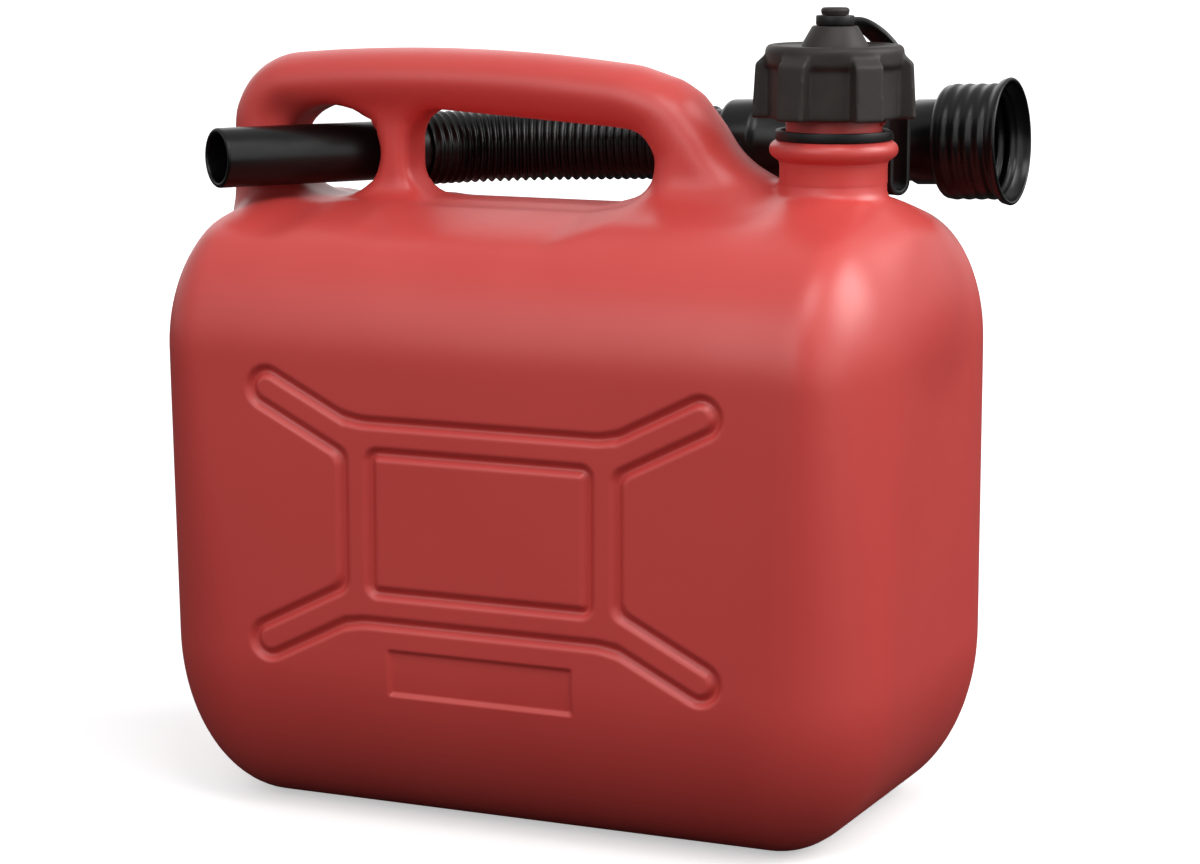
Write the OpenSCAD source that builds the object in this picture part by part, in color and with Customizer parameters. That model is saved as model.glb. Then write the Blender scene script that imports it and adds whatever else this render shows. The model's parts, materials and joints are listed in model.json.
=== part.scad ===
// Five litre petrol can with a screw cap on a tether and a pouring spout stored through its handle.
// Millimetres. The origin is the centre of the base, X runs towards the neck, Z is up.

/* [Tank] */
// Length of the tank along X
body_length = 245; // [225:1:270]
// Width of the tank along Y
body_width = 148; // [130:1:175]
// Height of the ridge that carries the handle
ridge_height = 195; // [192:1:215]
// Depth below the ridge at which the side faces start to round in
shoulder_start = 46; // [43:1:60]
// Radius between side face and roof
shoulder_radius = 43.5; // [36:0.5:45]
// Radius of the upright edges
corner_radius = 23; // [18:1:36]
// Plan radius of the rounded lower edge
base_radius = 37; // [30:1:46]
// Height of the rounded lower edge
base_rise = 55; // [40:1:62]
// Half width of the ridge
ridge_half_width = 24; // [20:1:28]
// Half width of the ridge's flat top
ridge_flat = 9; // [5:1:12]
// How far the ridge stops short of the tank's ends
ridge_inset = 7; // [4:1:12]
// Moulded wall thickness
wall = 2; // [1.6:0.1:3]

/* [Rib pattern] */
// Height of the pattern's centre above the middle of the flat side, less than zero if below it
pattern_height = -3; // [-11.5:0.5:8.5]
// Length of the outer frame
frame_length = 93; // [80:1:105]
// Height of the outer frame
frame_height = 63; // [50:1:70]
// Width of the band between outer frame and panel
band_width = 9.6; // [6:0.2:12]
// Reach of an arm's tip from the pattern's centre along X
arm_reach = 78; // [65:1:84]
// Reach of an arm's tip from the pattern's centre along Z
arm_rise = 42.5; // [38:0.5:48]
// Width of an arm
arm_width = 9.5; // [7:0.5:12]
// Width of the pressed groove
groove_width = 3; // [2:0.2:4]
// Depth of the pressed groove
groove_depth = 1.4; // [0.8:0.1:2]
// Length of the plain label field under the frame
label_length = 62; // [50:1:75]
// Height of the label field
label_height = 14; // [10:1:18]
// Drop of the label field's centre below the pattern's centre
label_drop = 47; // [44:1:50]
// Depth of the label field
label_depth = 0.8; // [0.4:0.1:1.5]

/* [Handle] */
// Height of the grip's section
grip_height = 20; // [17:0.2:24]
// Thickness of the handle along Y
handle_depth = 30; // [25:1:34]
// Free height of the finger gap
finger_gap_height = 26.5; // [26:0.5:34]
// Length of the finger gap along the ridge
finger_gap_length = 79.6; // [69.2:0.2:81.2]
// Length of the hole that holds the nozzle
nozzle_hole_length = 34.6; // [33.4:0.2:38]
// Width of the post between the two openings
post_width = 9.8; // [8.6:0.2:11.2]
// Thickness of the post along Y
post_depth = 20; // [16:0.5:20.5]
// Drop of the grip's ends below its middle
grip_crown = 5; // [2:0.2:8]
// Distance of the grip's highest point from the middle of its span, towards the column
crown_shift = 11; // [4:0.5:16]
// Radius of the bend between the left column and the grip
column_bend = 14; // [10:1:18]
// Depth of the left column's foot below the ridge
column_sink = 25; // [20:1:30]
// Depth of the post's foot below the ridge
post_sink = 18; // [14:1:22]
// Distance of the neck's axis from the end of the finger gap under the grip
leg_run = 57.2; // [53.2:0.2:65.2]
// Spread of the right leg along X, from the finger gap to its foot
leg_spread = 31.4; // [26:0.2:34]
// Height of the right leg's knee above the ridge
knee_rise = 3; // [1:0.5:5]
// Depth of the right leg's foot below the ridge
foot_sink = 7; // [5:0.5:10]
// How much higher the right leg's outer side bends than its inner side
leg_lean = 5; // [2:0.5:8]
// How much further the right leg's foot reaches along Y than the grip, on each side
foot_flare = 7; // [3:0.5:10]

/* [Neck] */
// Distance of the neck's axis from the tank's end
neck_inset = 35.8; // [34:0.2:42]
// Outer radius of the neck tube
neck_radius = 16.7; // [15.6:0.1:18.4]
// Radius of the neck's bore
neck_bore_radius = 12.6; // [10.5:0.1:13]
// Height of the pad under the neck above the ridge
pad_rise = 4.5; // [2:0.5:8]
// Depth of the pad's rounded form
pad_depth = 34; // [28:1:40]
// Height of the bead above the ridge
bead_rise = 18.3; // [16:0.1:24]
// Radius of the bead's round section
bead_section = 2.9; // [2:0.1:3.4]
// Outer radius of the bead
bead_radius = 19.9; // [18.8:0.1:22]
// Height of the neck's rim above the bead's centre
rim_rise = 21.7; // [20:0.1:24]
// Radius of the neck under its thread
thread_core_radius = 14.9; // [14.2:0.1:15.2]
// Height of a thread ridge
thread_height = 1.1; // [0.8:0.1:1.4]
// Rise of the thread in one turn
thread_lead = 4; // [3.6:0.1:5]
// Width of a thread ridge at its foot
thread_foot = 1.9; // [1.5:0.1:2.1]
// Width of a thread ridge at its crest
thread_crest = 0.9; // [0.6:0.1:1.2]
// Height of the thread's start above the tether's ring
thread_gap = 2.2; // [1.9:0.1:3]

/* [Cap] */
// Turns by which the cap is loosened
cap_turns_open = 0.8; // [0.5:0.1:1]
// Radius of the cap over its lugs
lug_radius = 25.6; // [24:0.1:28]
// Number of lugs
lug_count = 6; // [4:1:8]
// Angle that one lug covers
lug_angle = 21; // [14:1:26]
// Turn of the first lug from X
lug_phase = 16.6; // [0:0.1:45]
// Height of the lugs
lug_height = 20; // [16:0.5:21]
// Draft of a lug's outer face
lug_draft = 1.2; // [0.6:0.1:1.6]
// Height of the chamfer on top of a lug
lug_chamfer = 3; // [2:0.1:4]
// Outer radius of the skirt between the lugs
skirt_radius = 20.4; // [19.4:0.1:21]
// Radius of the rounded top disc
disc_radius = 21.4; // [20.8:0.1:22.2]
// Height of the top disc
disc_height = 5.6; // [4.4:0.1:7]
// Radius of the disc's rounded rim
disc_round = 2; // [1.2:0.1:2.2]
// Radius of the boss at its foot
boss_radius = 10.2; // [8.6:0.1:12]
// Height of the boss above the disc
boss_height = 5.6; // [4:0.1:7]
// Radius of the button on the boss
button_radius = 4.4; // [4:0.1:5]
// Radius of the stem under the button
stem_radius = 3.2; // [2.6:0.1:3.4]
// Height of the button
button_height = 2.2; // [1.8:0.1:3]
// Radius of the button's rounded rim
button_round = 1; // [0.6:0.1:1.4]
// Width of the boss's top round the button
boss_shelf = 2.8; // [2:0.1:3.4]
// Thickness of the sealing washers
seal_thickness = 1.6; // [1:0.1:2.2]

/* [Tether] */
// Thickness of the ring on the neck
ring_height = 3; // [2:0.1:3.4]
// Outer radius of the ring
ring_radius = 18; // [17.5:0.1:19.4]
// Outer radius of the eye under the button
eye_radius = 5.9; // [5.2:0.1:7]
// Thickness of the eye
eye_thickness = 3; // [2:0.1:3.6]
// Width of the strap
strap_width = 8; // [5:0.5:10]
// Thickness of the strap
strap_thickness = 1.6; // [1:0.1:2]
// Length of the tabs that carry the strap
tether_tab = 2.6; // [2:0.1:4]
// Radius of the strap's bend at the ring
strap_hook = 2; // [1.5:0.1:2.5]
// Depth below the disc's top at which the strap hangs straight down
strap_drop = 16; // [12:1:18]
// Direction of the strap at the ring, from X towards the back
strap_direction = 50; // [40:1:75]
// Direction of the strap at the eye, from X towards the back
eye_direction = 85; // [60:1:100]
// Distance of the strap from the lugs
strap_clearance = 4; // [3:0.5:8]
// Depth of the slack loop below the bead's centre
strap_slack = 15; // [9:0.1:18]

/* [Spout] */
// Turn of the nozzle from X towards the back
nozzle_turn = 55; // [55:0.5:62]
// Outer radius of the nozzle
nozzle_radius = 9.7; // [8.5:0.1:9.8]
// Wall thickness of the nozzle
nozzle_wall = 1.7; // [1.2:0.1:1.9]
// Length of the nozzle in front of the handle's middle
nozzle_front = 46; // [38:1:60]
// Length of the nozzle behind the handle's middle
nozzle_back = 28; // [26:1:34]
// Height of the nozzle's axis above the ridge
nozzle_rise = 11.5; // [11.3:0.1:13]
// Distance of the stored cuff's axis behind the handle's middle
cuff_offset = 57; // [54:0.5:62]
// Upward slope of the cuff's axis
cuff_slope = 2.1; // [0:0.1:3]
// Radius of the hose over its ribs
hose_radius = 12.2; // [11.8:0.1:12.3]
// Radius of the hose in the rib's valleys
hose_root_radius = 11.1; // [10.9:0.1:11.4]
// Radius of the hose's bore
hose_bore_radius = 10.1; // [10.1:0.1:10.4]
// Distance from rib to rib
rib_pitch = 2.9; // [2:0.1:4]
// Length of the pieces that push into and over the hose's ends
hose_engagement = 8; // [5:0.5:12]
// Distance of the collar from the corner of the spout's bend
collar_distance = 74; // [68:1:80]
// Radius of the adapter's collar
collar_radius = 14.3; // [13:0.1:16]
// Length of the collar
collar_length = 13.6; // [11:0.2:16]
// Length of the collar's rounded edges
collar_edge = 3; // [2:0.1:4]
// Radius of the adapter's waist
waist_radius = 12.6; // [11.6:0.1:13]
// Length of the waist
waist_length = 51; // [45:1:58]
// Radius of the step before the cuff
step_radius = 13.7; // [13.1:0.1:15]
// Length of the step
step_length = 9.8; // [6:0.2:12]
// Length of the threaded cuff
cuff_length = 19; // [17:0.5:23]
// Radius of the cuff over its rings
cuff_radius = 18.6; // [18.5:0.1:19.6]
// Wall thickness of the cuff
cuff_wall = 1.3; // [1:0.1:1.35]
// Length of the cuff's rounded shoulder before its rings
cuff_shoulder = 2.6; // [2:0.1:3.4]
// Depth of the rings
ring_depth = 0.5; // [0.3:0.1:1]
// Number of rings on the cuff
cuff_rings = 4; // [3:1:5]
// Radius of the mouth flange
mouth_radius = 20.4; // [19.9:0.1:22]
// Length of the mouth flange
mouth_length = 4; // [3:0.1:6]

/* [Fits] */
// Gap between pieces that move past each other
running_gap = 0.4; // [0.3:0.05:0.5]
// Gap between faces that meet
seat_gap = 0.1; // [0.05:0.05:0.3]
// Depth by which fused forms reach into each other and cuts reach past a face
weld = 1; // [0.5:0.1:1.5]
// Depth by which a thread ridge is rooted in its wall
thread_root = 0.3; // [0.2:0.05:0.4]

/* [Hidden] */

form_fn = 32;
bead_fn = 20;
inside_fn = 16;
round_fn = 72;

// Places along the tank and the handle
half_length = body_length / 2;
half_width = body_width / 2;
grip_half = grip_height / 2;
handle_half = handle_depth / 2;
shoulder_z = ridge_height - shoulder_start;
pattern_z = (base_rise + shoulder_z) / 2 + pattern_height;
neck_x = half_length - neck_inset;
column_x = grip_half - half_length;
post_x = column_x + grip_half + nozzle_hole_length + post_width / 2;
column_reach = norm([grip_half * sin(nozzle_turn), handle_half * cos(nozzle_turn)]);
post_reach = norm([post_width * sin(nozzle_turn), post_depth * cos(nozzle_turn)]) / 2;
hole_x = (column_x + post_x + (column_reach - post_reach) / sin(nozzle_turn)) / 2;
gap_end_x = neck_x - leg_run;
grip_z = ridge_height + finger_gap_height + grip_half;
grip_middle_x = (column_x + gap_end_x + grip_half) / 2 - crown_shift;
grip_half_span = (gap_end_x + grip_half - column_x) / 2;
grip_steps = 6;

// Neck and thread heights
neck_foot_z = ridge_height / 2;
bead_z = ridge_height + bead_rise;
rim_z = bead_z + rim_rise;
ring_z = bead_z + bead_section + seat_gap;
thread_radius = thread_core_radius + thread_height;
thread_start_z = ring_z + ring_height + thread_gap;
neck_turns = 2.5;
cap_turns = 1.5;

// Cap heights, with the cap loosened by its open turns
cap_lift = cap_turns_open * thread_lead;
cap_z = ring_z + ring_height + running_gap + cap_lift;
seal_z = rim_z + seat_gap + cap_lift;
cap_roof_z = seal_z + seal_thickness;
disc_z = cap_roof_z + disc_height;
boss_z = disc_z + boss_height;
eye_z = boss_z + running_gap / 2;
button_z = eye_z + eye_thickness + running_gap / 2;
cap_bore_radius = thread_radius + running_gap;

// Spout axes: the nozzle's line, the corner where it meets the cuff's line, and the cuff's line
nozzle_z = ridge_height + nozzle_rise;
nozzle_axis = [cos(nozzle_turn), sin(nozzle_turn), 0];
cuff_axis = [cos(cuff_slope), 0, sin(cuff_slope)];
corner_distance = cuff_offset / sin(nozzle_turn);
bend_corner = [hole_x, 0, nozzle_z] + corner_distance * nozzle_axis;
hose_start = corner_distance - nozzle_back;
hose_end = collar_distance + hose_engagement - seat_gap;
bend_in = hose_start - hose_engagement - weld;
bend_out = collar_distance - hose_radius;
hose_sides = 16;
bend_steps = 12;

// Ellipsoid with half sizes r, shrunk on every side by inset
module ellipsoid(at, r, inset, fn = form_fn) {
    translate(at)
        scale([r[0] - inset, r[1] - inset, r[2] - inset])
            sphere(1, $fn = inset > 0 ? inside_fn : fn);
}

// Rounded tank with a vaulted roof
module tank_form(inset) {
    foot = base_radius / 4;
    base_at = [half_length - base_radius, half_width - base_radius, base_rise];
    shoulder_at = [half_length - corner_radius, half_width - shoulder_radius, shoulder_z];
    ridge_side = ridge_half_width - ridge_flat;
    ridge_drop = ridge_side * 0.6;
    ridge_at = [half_length - ridge_inset - corner_radius, ridge_flat, ridge_height - ridge_drop];
    hull() for (sx = [-1, 1], sy = [-1, 1]) scale([sx, sy, 1]) {
        ellipsoid(base_at, [base_radius, base_radius, base_rise], inset);
        translate([base_at[0], base_at[1], inset]) cylinder(r = foot, h = weld, $fn = form_fn);
        ellipsoid(shoulder_at, [corner_radius, shoulder_radius, shoulder_radius], inset);
        ellipsoid(ridge_at, [corner_radius, ridge_side, ridge_drop], inset);
    }
}

// Domed pad under the neck
module neck_pad(inset) {
    pad = [neck_inset - ridge_inset / 2, 2.2 * bead_radius, pad_depth];
    ellipsoid([neck_x, 0, ridge_height + pad_rise - pad[2]], pad, inset);
}

// Height of the grip's centre line, which drops towards its ends
function grip_line(x) = grip_z - grip_crown * pow((x - grip_middle_x) / grip_half_span, 2);

// Handle's centre line from the left foot over the grip to the right leg
column_top = [column_x, grip_line(column_x + column_bend) - column_bend];
leg_top = [gap_end_x + grip_half * 0.55, grip_line(gap_end_x) - grip_half * 0.65];
grip_start_x = column_x + column_bend;
grip_step = (gap_end_x - grip_half * 0.4 - grip_start_x) / grip_steps;
arch = concat(
    [[column_x, ridge_height - column_sink]],
    [for (a = [0:30:90]) column_top + column_bend * [1 - cos(a), sin(a)]],
    [for (i = [1:grip_steps]) let (x = grip_start_x + i * grip_step) [x, grip_line(x)]],
    [leg_top]
);
leg_waist_z = leg_top[1] - grip_half;
leg_knee_z = ridge_height + knee_rise;
leg_foot_z = ridge_height - foot_sink;
leg_foot_x = post_x + post_width / 2 + finger_gap_length + grip_half;
leg_waist = [[gap_end_x + grip_half, leg_waist_z], [gap_end_x + leg_spread * 0.41, leg_waist_z]];
leg_knee = [
    [gap_end_x + grip_half * 0.8, leg_knee_z],
    [gap_end_x + leg_spread * 0.57, leg_knee_z + leg_lean]
];
leg_foot = [[leg_foot_x, leg_foot_z], [gap_end_x + leg_spread, leg_foot_z + leg_lean]];

// One oval bead of the handle at [x, z]
module handle_bead(p, half, depth, inset) {
    ellipsoid([p[0], 0, p[1]], [half, depth, half], inset, bead_fn);
}

// Carrying handle: arch, post between the openings, and right leg
module handle_form(inset) {
    for (i = [0:len(arch) - 2])
        hull() for (p = [arch[i], arch[i + 1]]) handle_bead(p, grip_half, handle_half, inset);
    hull() for (p = [[post_x, ridge_height - post_sink], [post_x, grip_z - post_width / 5]])
        handle_bead(p, post_width / 2, post_depth / 2, inset);
    hull() for (p = concat([leg_top], leg_waist)) handle_bead(p, grip_half, handle_half, inset);
    hull() for (p = concat(leg_waist, leg_knee)) handle_bead(p, grip_half, handle_half, inset);
    hull() {
        for (p = leg_knee) handle_bead(p, grip_half, handle_half, inset);
        for (p = leg_foot) handle_bead(p, grip_half, handle_half + foot_flare, inset);
    }
}

// Triangles of a closed tube of n rings with m points each
function tube_faces(n, m) = concat(
    [
        for (i = [0:n - 2], k = [0:m - 1])
            let (a = i * m + k, b = i * m + (k + 1) % m)
            for (t = [[a, b, b + m], [a, b + m, a + m]]) t
    ],
    [for (k = [1:m - 2]) [0, k + 1, k]],
    [for (last = (n - 1) * m, k = [1:m - 2]) [last, last + k, last + k + 1]]
);

// Helical ridge of trapezoid section from radius foot_r to crest_r, which fades out at both ends
module helix_ridge(foot_r, crest_r, turns) {
    per_turn = 48;
    n = turns * per_turn;
    fade = per_turn / 6;
    least = 0.02;
    outwards = crest_r > foot_r;
    points = [
        for (i = [0:n])
            let (a = 360 * i / per_turn, full = max(least, min(1, i / fade, (n - i) / fade)))
            let (foot = [foot_r, thread_foot / 2])
            let (crest = [foot_r + (crest_r - foot_r) * full, thread_crest / 2])
            let (inner = outwards ? foot : crest, outer = outwards ? crest : foot)
            for (p = [[inner[0], -inner[1]], [outer[0], -outer[1]], outer, inner])
                [p[0] * cos(a), p[0] * sin(a), p[1] + thread_lead * i / per_turn]
    ];
    polyhedron(points, tube_faces(n + 1, 4));
}

// Outline of the rib pattern: frame with four round-ended arms
module pattern_outline() {
    square([frame_length, frame_height], center = true);
    arm_half = arm_width / 2;
    arm_root = [frame_length / 2 - arm_width, frame_height / 2 - arm_width];
    arm_tip = [arm_reach - arm_half, arm_rise - arm_half / 2];
    for (sx = [-1, 1], sz = [-1, 1])
        hull() for (end = [arm_root, arm_tip])
            translate([sx * end[0], sz * end[1]]) circle(arm_half, $fn = 20);
}

// Groove that follows an outline
module groove_along() {
    difference() {
        offset(r = groove_width / 2, $fn = 16) children();
        offset(delta = -groove_width / 2) children();
    }
}

// Pressed grooves of one side face, in the XZ plane
module pressed_pattern() {
    translate([0, pattern_z]) {
        groove_along() pattern_outline();
        groove_along()
            square([frame_length - 2 * band_width, frame_height - 2 * band_width], center = true);
    }
}

// Cut that presses a flat shape into a side face to a depth
module press_in(depth) {
    for (turn = [0, 180])
        rotate([0, 0, turn]) translate([0, depth - half_width, 0]) rotate([90, 0, 0])
            linear_extrude(2 * depth) children();
}

// Solid neck with its bead and thread, about its own axis
module neck_solid() {
    rotate_extrude($fn = round_fn) {
        translate([0, neck_foot_z]) square([neck_radius, bead_z - neck_foot_z]);
        translate([0, neck_foot_z]) square([thread_core_radius, rim_z - neck_foot_z]);
        translate([bead_radius - bead_section, bead_z]) circle(bead_section, $fn = 24);
        translate([0, bead_z - bead_section]) square([bead_radius - bead_section, 2 * bead_section]);
    }
    translate([0, 0, thread_start_z])
        helix_ridge(thread_core_radius - thread_root, thread_radius, neck_turns);
}

module can_body() {
    color("firebrick")
    difference() {
        union() {
            tank_form(0);
            neck_pad(0);
            handle_form(0);
            translate([neck_x, 0, 0]) neck_solid();
        }
        tank_form(wall);
        neck_pad(wall);
        handle_form(wall);
        translate([neck_x, 0, neck_foot_z]) cylinder(r = neck_bore_radius, h = rim_z, $fn = round_fn);
        press_in(groove_depth) pressed_pattern();
        press_in(label_depth)
            translate([0, pattern_z - label_drop]) square([label_length, label_height], center = true);
    }
}

// Profile of one lug, with draft and a chamfered top
module lug_profile() {
    polygon([
        [skirt_radius - weld, 0], [lug_radius, 0], [lug_radius - lug_draft, lug_height - lug_chamfer],
        [disc_radius, lug_height], [skirt_radius - weld, lug_height]
    ]);
}

module screw_cap() {
    cap_height = disc_z - cap_z;
    boss_top = boss_z - cap_z;
    button_foot = button_z - cap_z;
    color("#26262a")
    translate([neck_x, 0, cap_z]) {
        rotate_extrude($fn = round_fn) {
            translate([cap_bore_radius, 0])
                square([skirt_radius - cap_bore_radius, cap_height - disc_round]);
            translate([0, cap_roof_z - cap_z]) square([disc_radius - disc_round, disc_height]);
            translate([disc_radius - disc_round, cap_height - disc_round]) circle(disc_round, $fn = 32);
            translate([0, cap_roof_z - cap_z]) square([disc_radius, disc_height - disc_round]);
            polygon([
                [0, cap_height], [boss_radius, cap_height],
                [button_radius + boss_shelf, boss_top], [0, boss_top]
            ]);
            translate([0, boss_top]) square([stem_radius, button_foot - boss_top + weld]);
            translate([0, button_foot]) square([button_radius - button_round, button_height]);
            translate([0, button_foot]) square([button_radius, button_height - button_round]);
            translate([button_radius - button_round, button_foot + button_height - button_round])
                circle(button_round, $fn = 24);
        }
        for (i = [0:lug_count - 1])
            rotate([0, 0, lug_phase - lug_angle / 2 + i * 360 / lug_count])
                rotate_extrude(angle = lug_angle, $fn = round_fn) lug_profile();
        mesh_turns = ceil((cap_z + thread_foot - thread_start_z) / thread_lead) + 0.5;
        translate([0, 0, thread_start_z + mesh_turns * thread_lead - cap_z])
            helix_ridge(cap_bore_radius + thread_root, thread_core_radius + running_gap, cap_turns);
    }
}

module cap_seal() {
    color("#6d6d6d")
    translate([neck_x, 0, seal_z])
        cylinder(r = cap_bore_radius - seat_gap, h = seal_thickness - seat_gap / 2, $fn = round_fn);
}

// Round piece with a hole right through it
module washer(radius, hole, height) {
    difference() {
        cylinder(r = radius, h = height, $fn = round_fn);
        translate([0, 0, -weld]) cylinder(r = hole, h = height + 2 * weld, $fn = round_fn);
    }
}

// Tab on a tether piece of the given radius and height, towards the strap
module strap_tab(radius, height, direction) {
    foot = [radius - weld, -strap_width / 2, (height - strap_thickness) / 2];
    rotate([0, 0, direction]) translate(foot) cube([tether_tab, strap_width, strap_thickness]);
}

module tether_ring() {
    color("#1d1d20")
    translate([neck_x, 0, ring_z]) {
        washer(ring_radius, thread_radius + running_gap, ring_height);
        strap_tab(ring_radius, ring_height, strap_direction);
    }
}

// Strap's centre line in the plane of the neck's axis: [radius, height] from the eye to the ring
strap_eye_z = eye_z + eye_thickness / 2;
strap_ring_z = ring_z + ring_height / 2;
strap_start_r = eye_radius - weld + tether_tab + seat_gap;
strap_end_r = ring_radius - weld + tether_tab + seat_gap;
strap_outer_r = lug_radius + strap_clearance;
strap_hook_r = strap_end_r + weld;
strap_inner_r = strap_hook_r + strap_hook;
strap_loop = (strap_outer_r - strap_inner_r) / 2;
strap_loop_z = bead_z - strap_slack + strap_loop;
strap_drape = [
    [strap_start_r, strap_eye_z], [strap_outer_r - strap_clearance, strap_eye_z],
    [strap_outer_r, disc_z - disc_height / 2], [strap_outer_r, disc_z - strap_drop]
];
strap_steps = 8;
function drape(u) =
    pow(1 - u, 3) * strap_drape[0] + 3 * u * pow(1 - u, 2) * strap_drape[1]
    + 3 * u * u * (1 - u) * strap_drape[2] + pow(u, 3) * strap_drape[3];
strap_line = concat(
    [for (i = [0:strap_steps]) drape(i / strap_steps)],
    [for (a = [0:30:180]) [strap_inner_r + strap_loop * (1 + cos(a)), strap_loop_z - strap_loop * sin(a)]],
    [for (a = [0:30:90]) [strap_hook_r, strap_ring_z - strap_hook] + strap_hook * [cos(a), sin(a)]],
    [[strap_end_r, strap_ring_z]]
);

module tether_strap() {
    n = len(strap_line);
    half = strap_width / 2;
    sides = [
        for (i = [0:n - 1])
            let (way = strap_line[min(i + 1, n - 1)] - strap_line[max(i - 1, 0)])
            [-way[1], way[0]] / norm(way) * strap_thickness / 2
    ];
    points = [
        for (i = [0:n - 1])
            let (p = strap_line[i], s = sides[i])
            let (turned = max(0, min(1, (i - 1) / (strap_steps - 1))))
            let (turn = eye_direction + (strap_direction - eye_direction) * turned)
            let (out = [cos(turn), sin(turn), 0], along = [-sin(turn), cos(turn), 0])
            for (c = [[p + s, -half], [p + s, half], [p - s, half], [p - s, -half]])
                c[0][0] * out + c[1] * along + [0, 0, c[0][1]]
    ];
    color("#1d1d20")
    translate([neck_x, 0, 0]) polyhedron(points, tube_faces(n, 4));
}

module tether_eye() {
    color("#1d1d20")
    translate([neck_x, 0, eye_z]) {
        washer(eye_radius, stem_radius + running_gap, eye_thickness);
        strap_tab(eye_radius, eye_thickness, eye_direction);
    }
}

// Places a shape that stands on Z along the nozzle's axis, its foot at the tip
module along_nozzle() {
    translate([hole_x, 0, nozzle_z] - nozzle_front * nozzle_axis) rotate([0, 90, nozzle_turn]) children();
}

// Places a shape that stands on Z along the cuff's axis, its foot at the collar's open face
module along_cuff() {
    translate(bend_corner + collar_distance * cuff_axis) rotate([0, 90 - cuff_slope, 0]) children();
}

module spout_nozzle() {
    length = nozzle_front + nozzle_back + hose_engagement;
    color("#18181a")
    along_nozzle() washer(nozzle_radius, nozzle_radius - nozzle_wall, length);
}

// Point of the spout's bend at u from 0 to 1, between the two straight runs
function bend_point(u) =
    bend_corner - bend_in * (1 - u) * (1 - u) * nozzle_axis + bend_out * u * u * cuff_axis;
function bend_way(u) =
    let (w = bend_in * (1 - u) * nozzle_axis + bend_out * u * cuff_axis) w / norm(w);

// Hose's centre line: each entry is a point and its direction
hose_line = concat(
    [[bend_corner - hose_start * nozzle_axis, nozzle_axis]],
    [for (i = [0:bend_steps]) [bend_point(i / bend_steps), bend_way(i / bend_steps)]],
    [[bend_corner + hose_end * cuff_axis, cuff_axis]]
);
hose_steps = [for (i = [1:len(hose_line) - 1]) norm(hose_line[i][0] - hose_line[i - 1][0])];
function run_to(i) = i == 0 ? 0 : hose_steps[i - 1] + run_to(i - 1);
hose_runs = [for (i = [0:len(hose_line) - 1]) run_to(i)];
hose_length = hose_runs[len(hose_runs) - 1];

// Centre line at a distance s from the nozzle: [point, direction]
function hose_at(s) =
    let (i = max([for (k = [0:len(hose_runs) - 2]) hose_runs[k] <= s ? k : 0]))
    let (t = (s - hose_runs[i]) / hose_steps[i])
    let (w = hose_line[i][1] * (1 - t) + hose_line[i + 1][1] * t)
    [hose_line[i][0] * (1 - t) + hose_line[i + 1][0] * t, w / norm(w)];

// Ring of points of radius r round the centre line at s
function hose_ring(s, r) =
    let (at = hose_at(s), across = cross([0, 0, 1], at[1]))
    let (side = across / norm(across), up = cross(at[1], side))
    [for (k = [0:hose_sides - 1]) let (a = 360 * k / hose_sides) at[0] + r * (cos(a) * side + sin(a) * up)];

module spout_hose() {
    plain = hose_engagement;
    ribs = floor((hose_length - plain - rib_pitch) / rib_pitch);
    outer = concat(
        [[0, hose_root_radius]],
        [
            for (i = [0:ribs - 1], part = [[0.5, hose_radius], [1, hose_root_radius]])
                [rib_pitch * (i + part[0]), part[1]]
        ],
        [[hose_length, hose_root_radius]]
    );
    inner_steps = 24;
    inner = [for (i = [inner_steps:-1:0]) [hose_length * i / inner_steps, hose_bore_radius]];
    rings = concat(outer, inner);
    n = len(rings);
    points = [for (r = rings) each hose_ring(r[0], r[1])];
    faces = [
        for (i = [0:n - 1], k = [0:hose_sides - 1])
            let (j = (i + 1) % n, m = (k + 1) % hose_sides)
            let (q = [i * hose_sides + k, i * hose_sides + m, j * hose_sides + m, j * hose_sides + k])
            for (t = [[q[0], q[2], q[1]], [q[0], q[3], q[2]]]) t
    ];
    color("#151517") polyhedron(points, faces);
}

module spout_cuff() {
    step_start = collar_length + waist_length;
    cuff_start = step_start + step_length;
    rings_start = cuff_start + cuff_shoulder;
    mouth_start = cuff_start + cuff_length;
    ring_pitch = (mouth_start - rings_start) / cuff_rings;
    flare_end = mouth_start + mouth_length / 2;
    mouth_end = mouth_start + mouth_length;
    root_radius = cuff_radius - ring_depth;
    bore = hose_bore_radius;
    socket = hose_root_radius + running_gap;
    wave = concat(
        [for (i = [0:cuff_rings - 1], k = [[0, 1], [0.3, 0], [0.6, 0], [0.9, 1]])
            [cuff_radius - k[1] * ring_depth, rings_start + (i + k[0]) * ring_pitch]]
    );
    outside = concat(
        [[collar_radius - collar_edge / 2, 0], [collar_radius, collar_edge]],
        [[collar_radius, collar_length - collar_edge], [waist_radius, collar_length]],
        [[waist_radius, step_start]],
        [[step_radius, step_start + step_radius - waist_radius]],
        [
            for (a = [0:30:60])
                [step_radius + (root_radius - step_radius) * sin(a), rings_start - cuff_shoulder * cos(a)]
        ],
        wave,
        [[root_radius, mouth_start], [mouth_radius, flare_end], [mouth_radius, mouth_end]]
    );
    inside = concat(
        [for (p = [[mouth_radius, mouth_end], [mouth_radius, flare_end], [root_radius, mouth_start]])
            p - [cuff_wall, 0]],
        [for (i = [len(wave) - 1:-1:0]) wave[i] - [cuff_wall, 0]],
        [[bore, rings_start], [bore, hose_engagement], [socket, hose_engagement], [socket, 0]]
    );
    color("#151517")
    along_cuff() rotate_extrude($fn = round_fn) polygon(concat(outside, inside));
}

module cuff_seal() {
    shelf = collar_length + waist_length + step_length + cuff_shoulder + seat_gap;
    color("#6d6d6d")
    along_cuff() translate([0, 0, shelf])
        washer(cuff_radius - cuff_wall - ring_depth - running_gap, hose_bore_radius + weld, seal_thickness);
}

can_body();
screw_cap();
cap_seal();
tether_ring();
tether_strap();
tether_eye();
spout_nozzle();
spout_hose();
spout_cuff();
cuff_seal();
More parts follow.
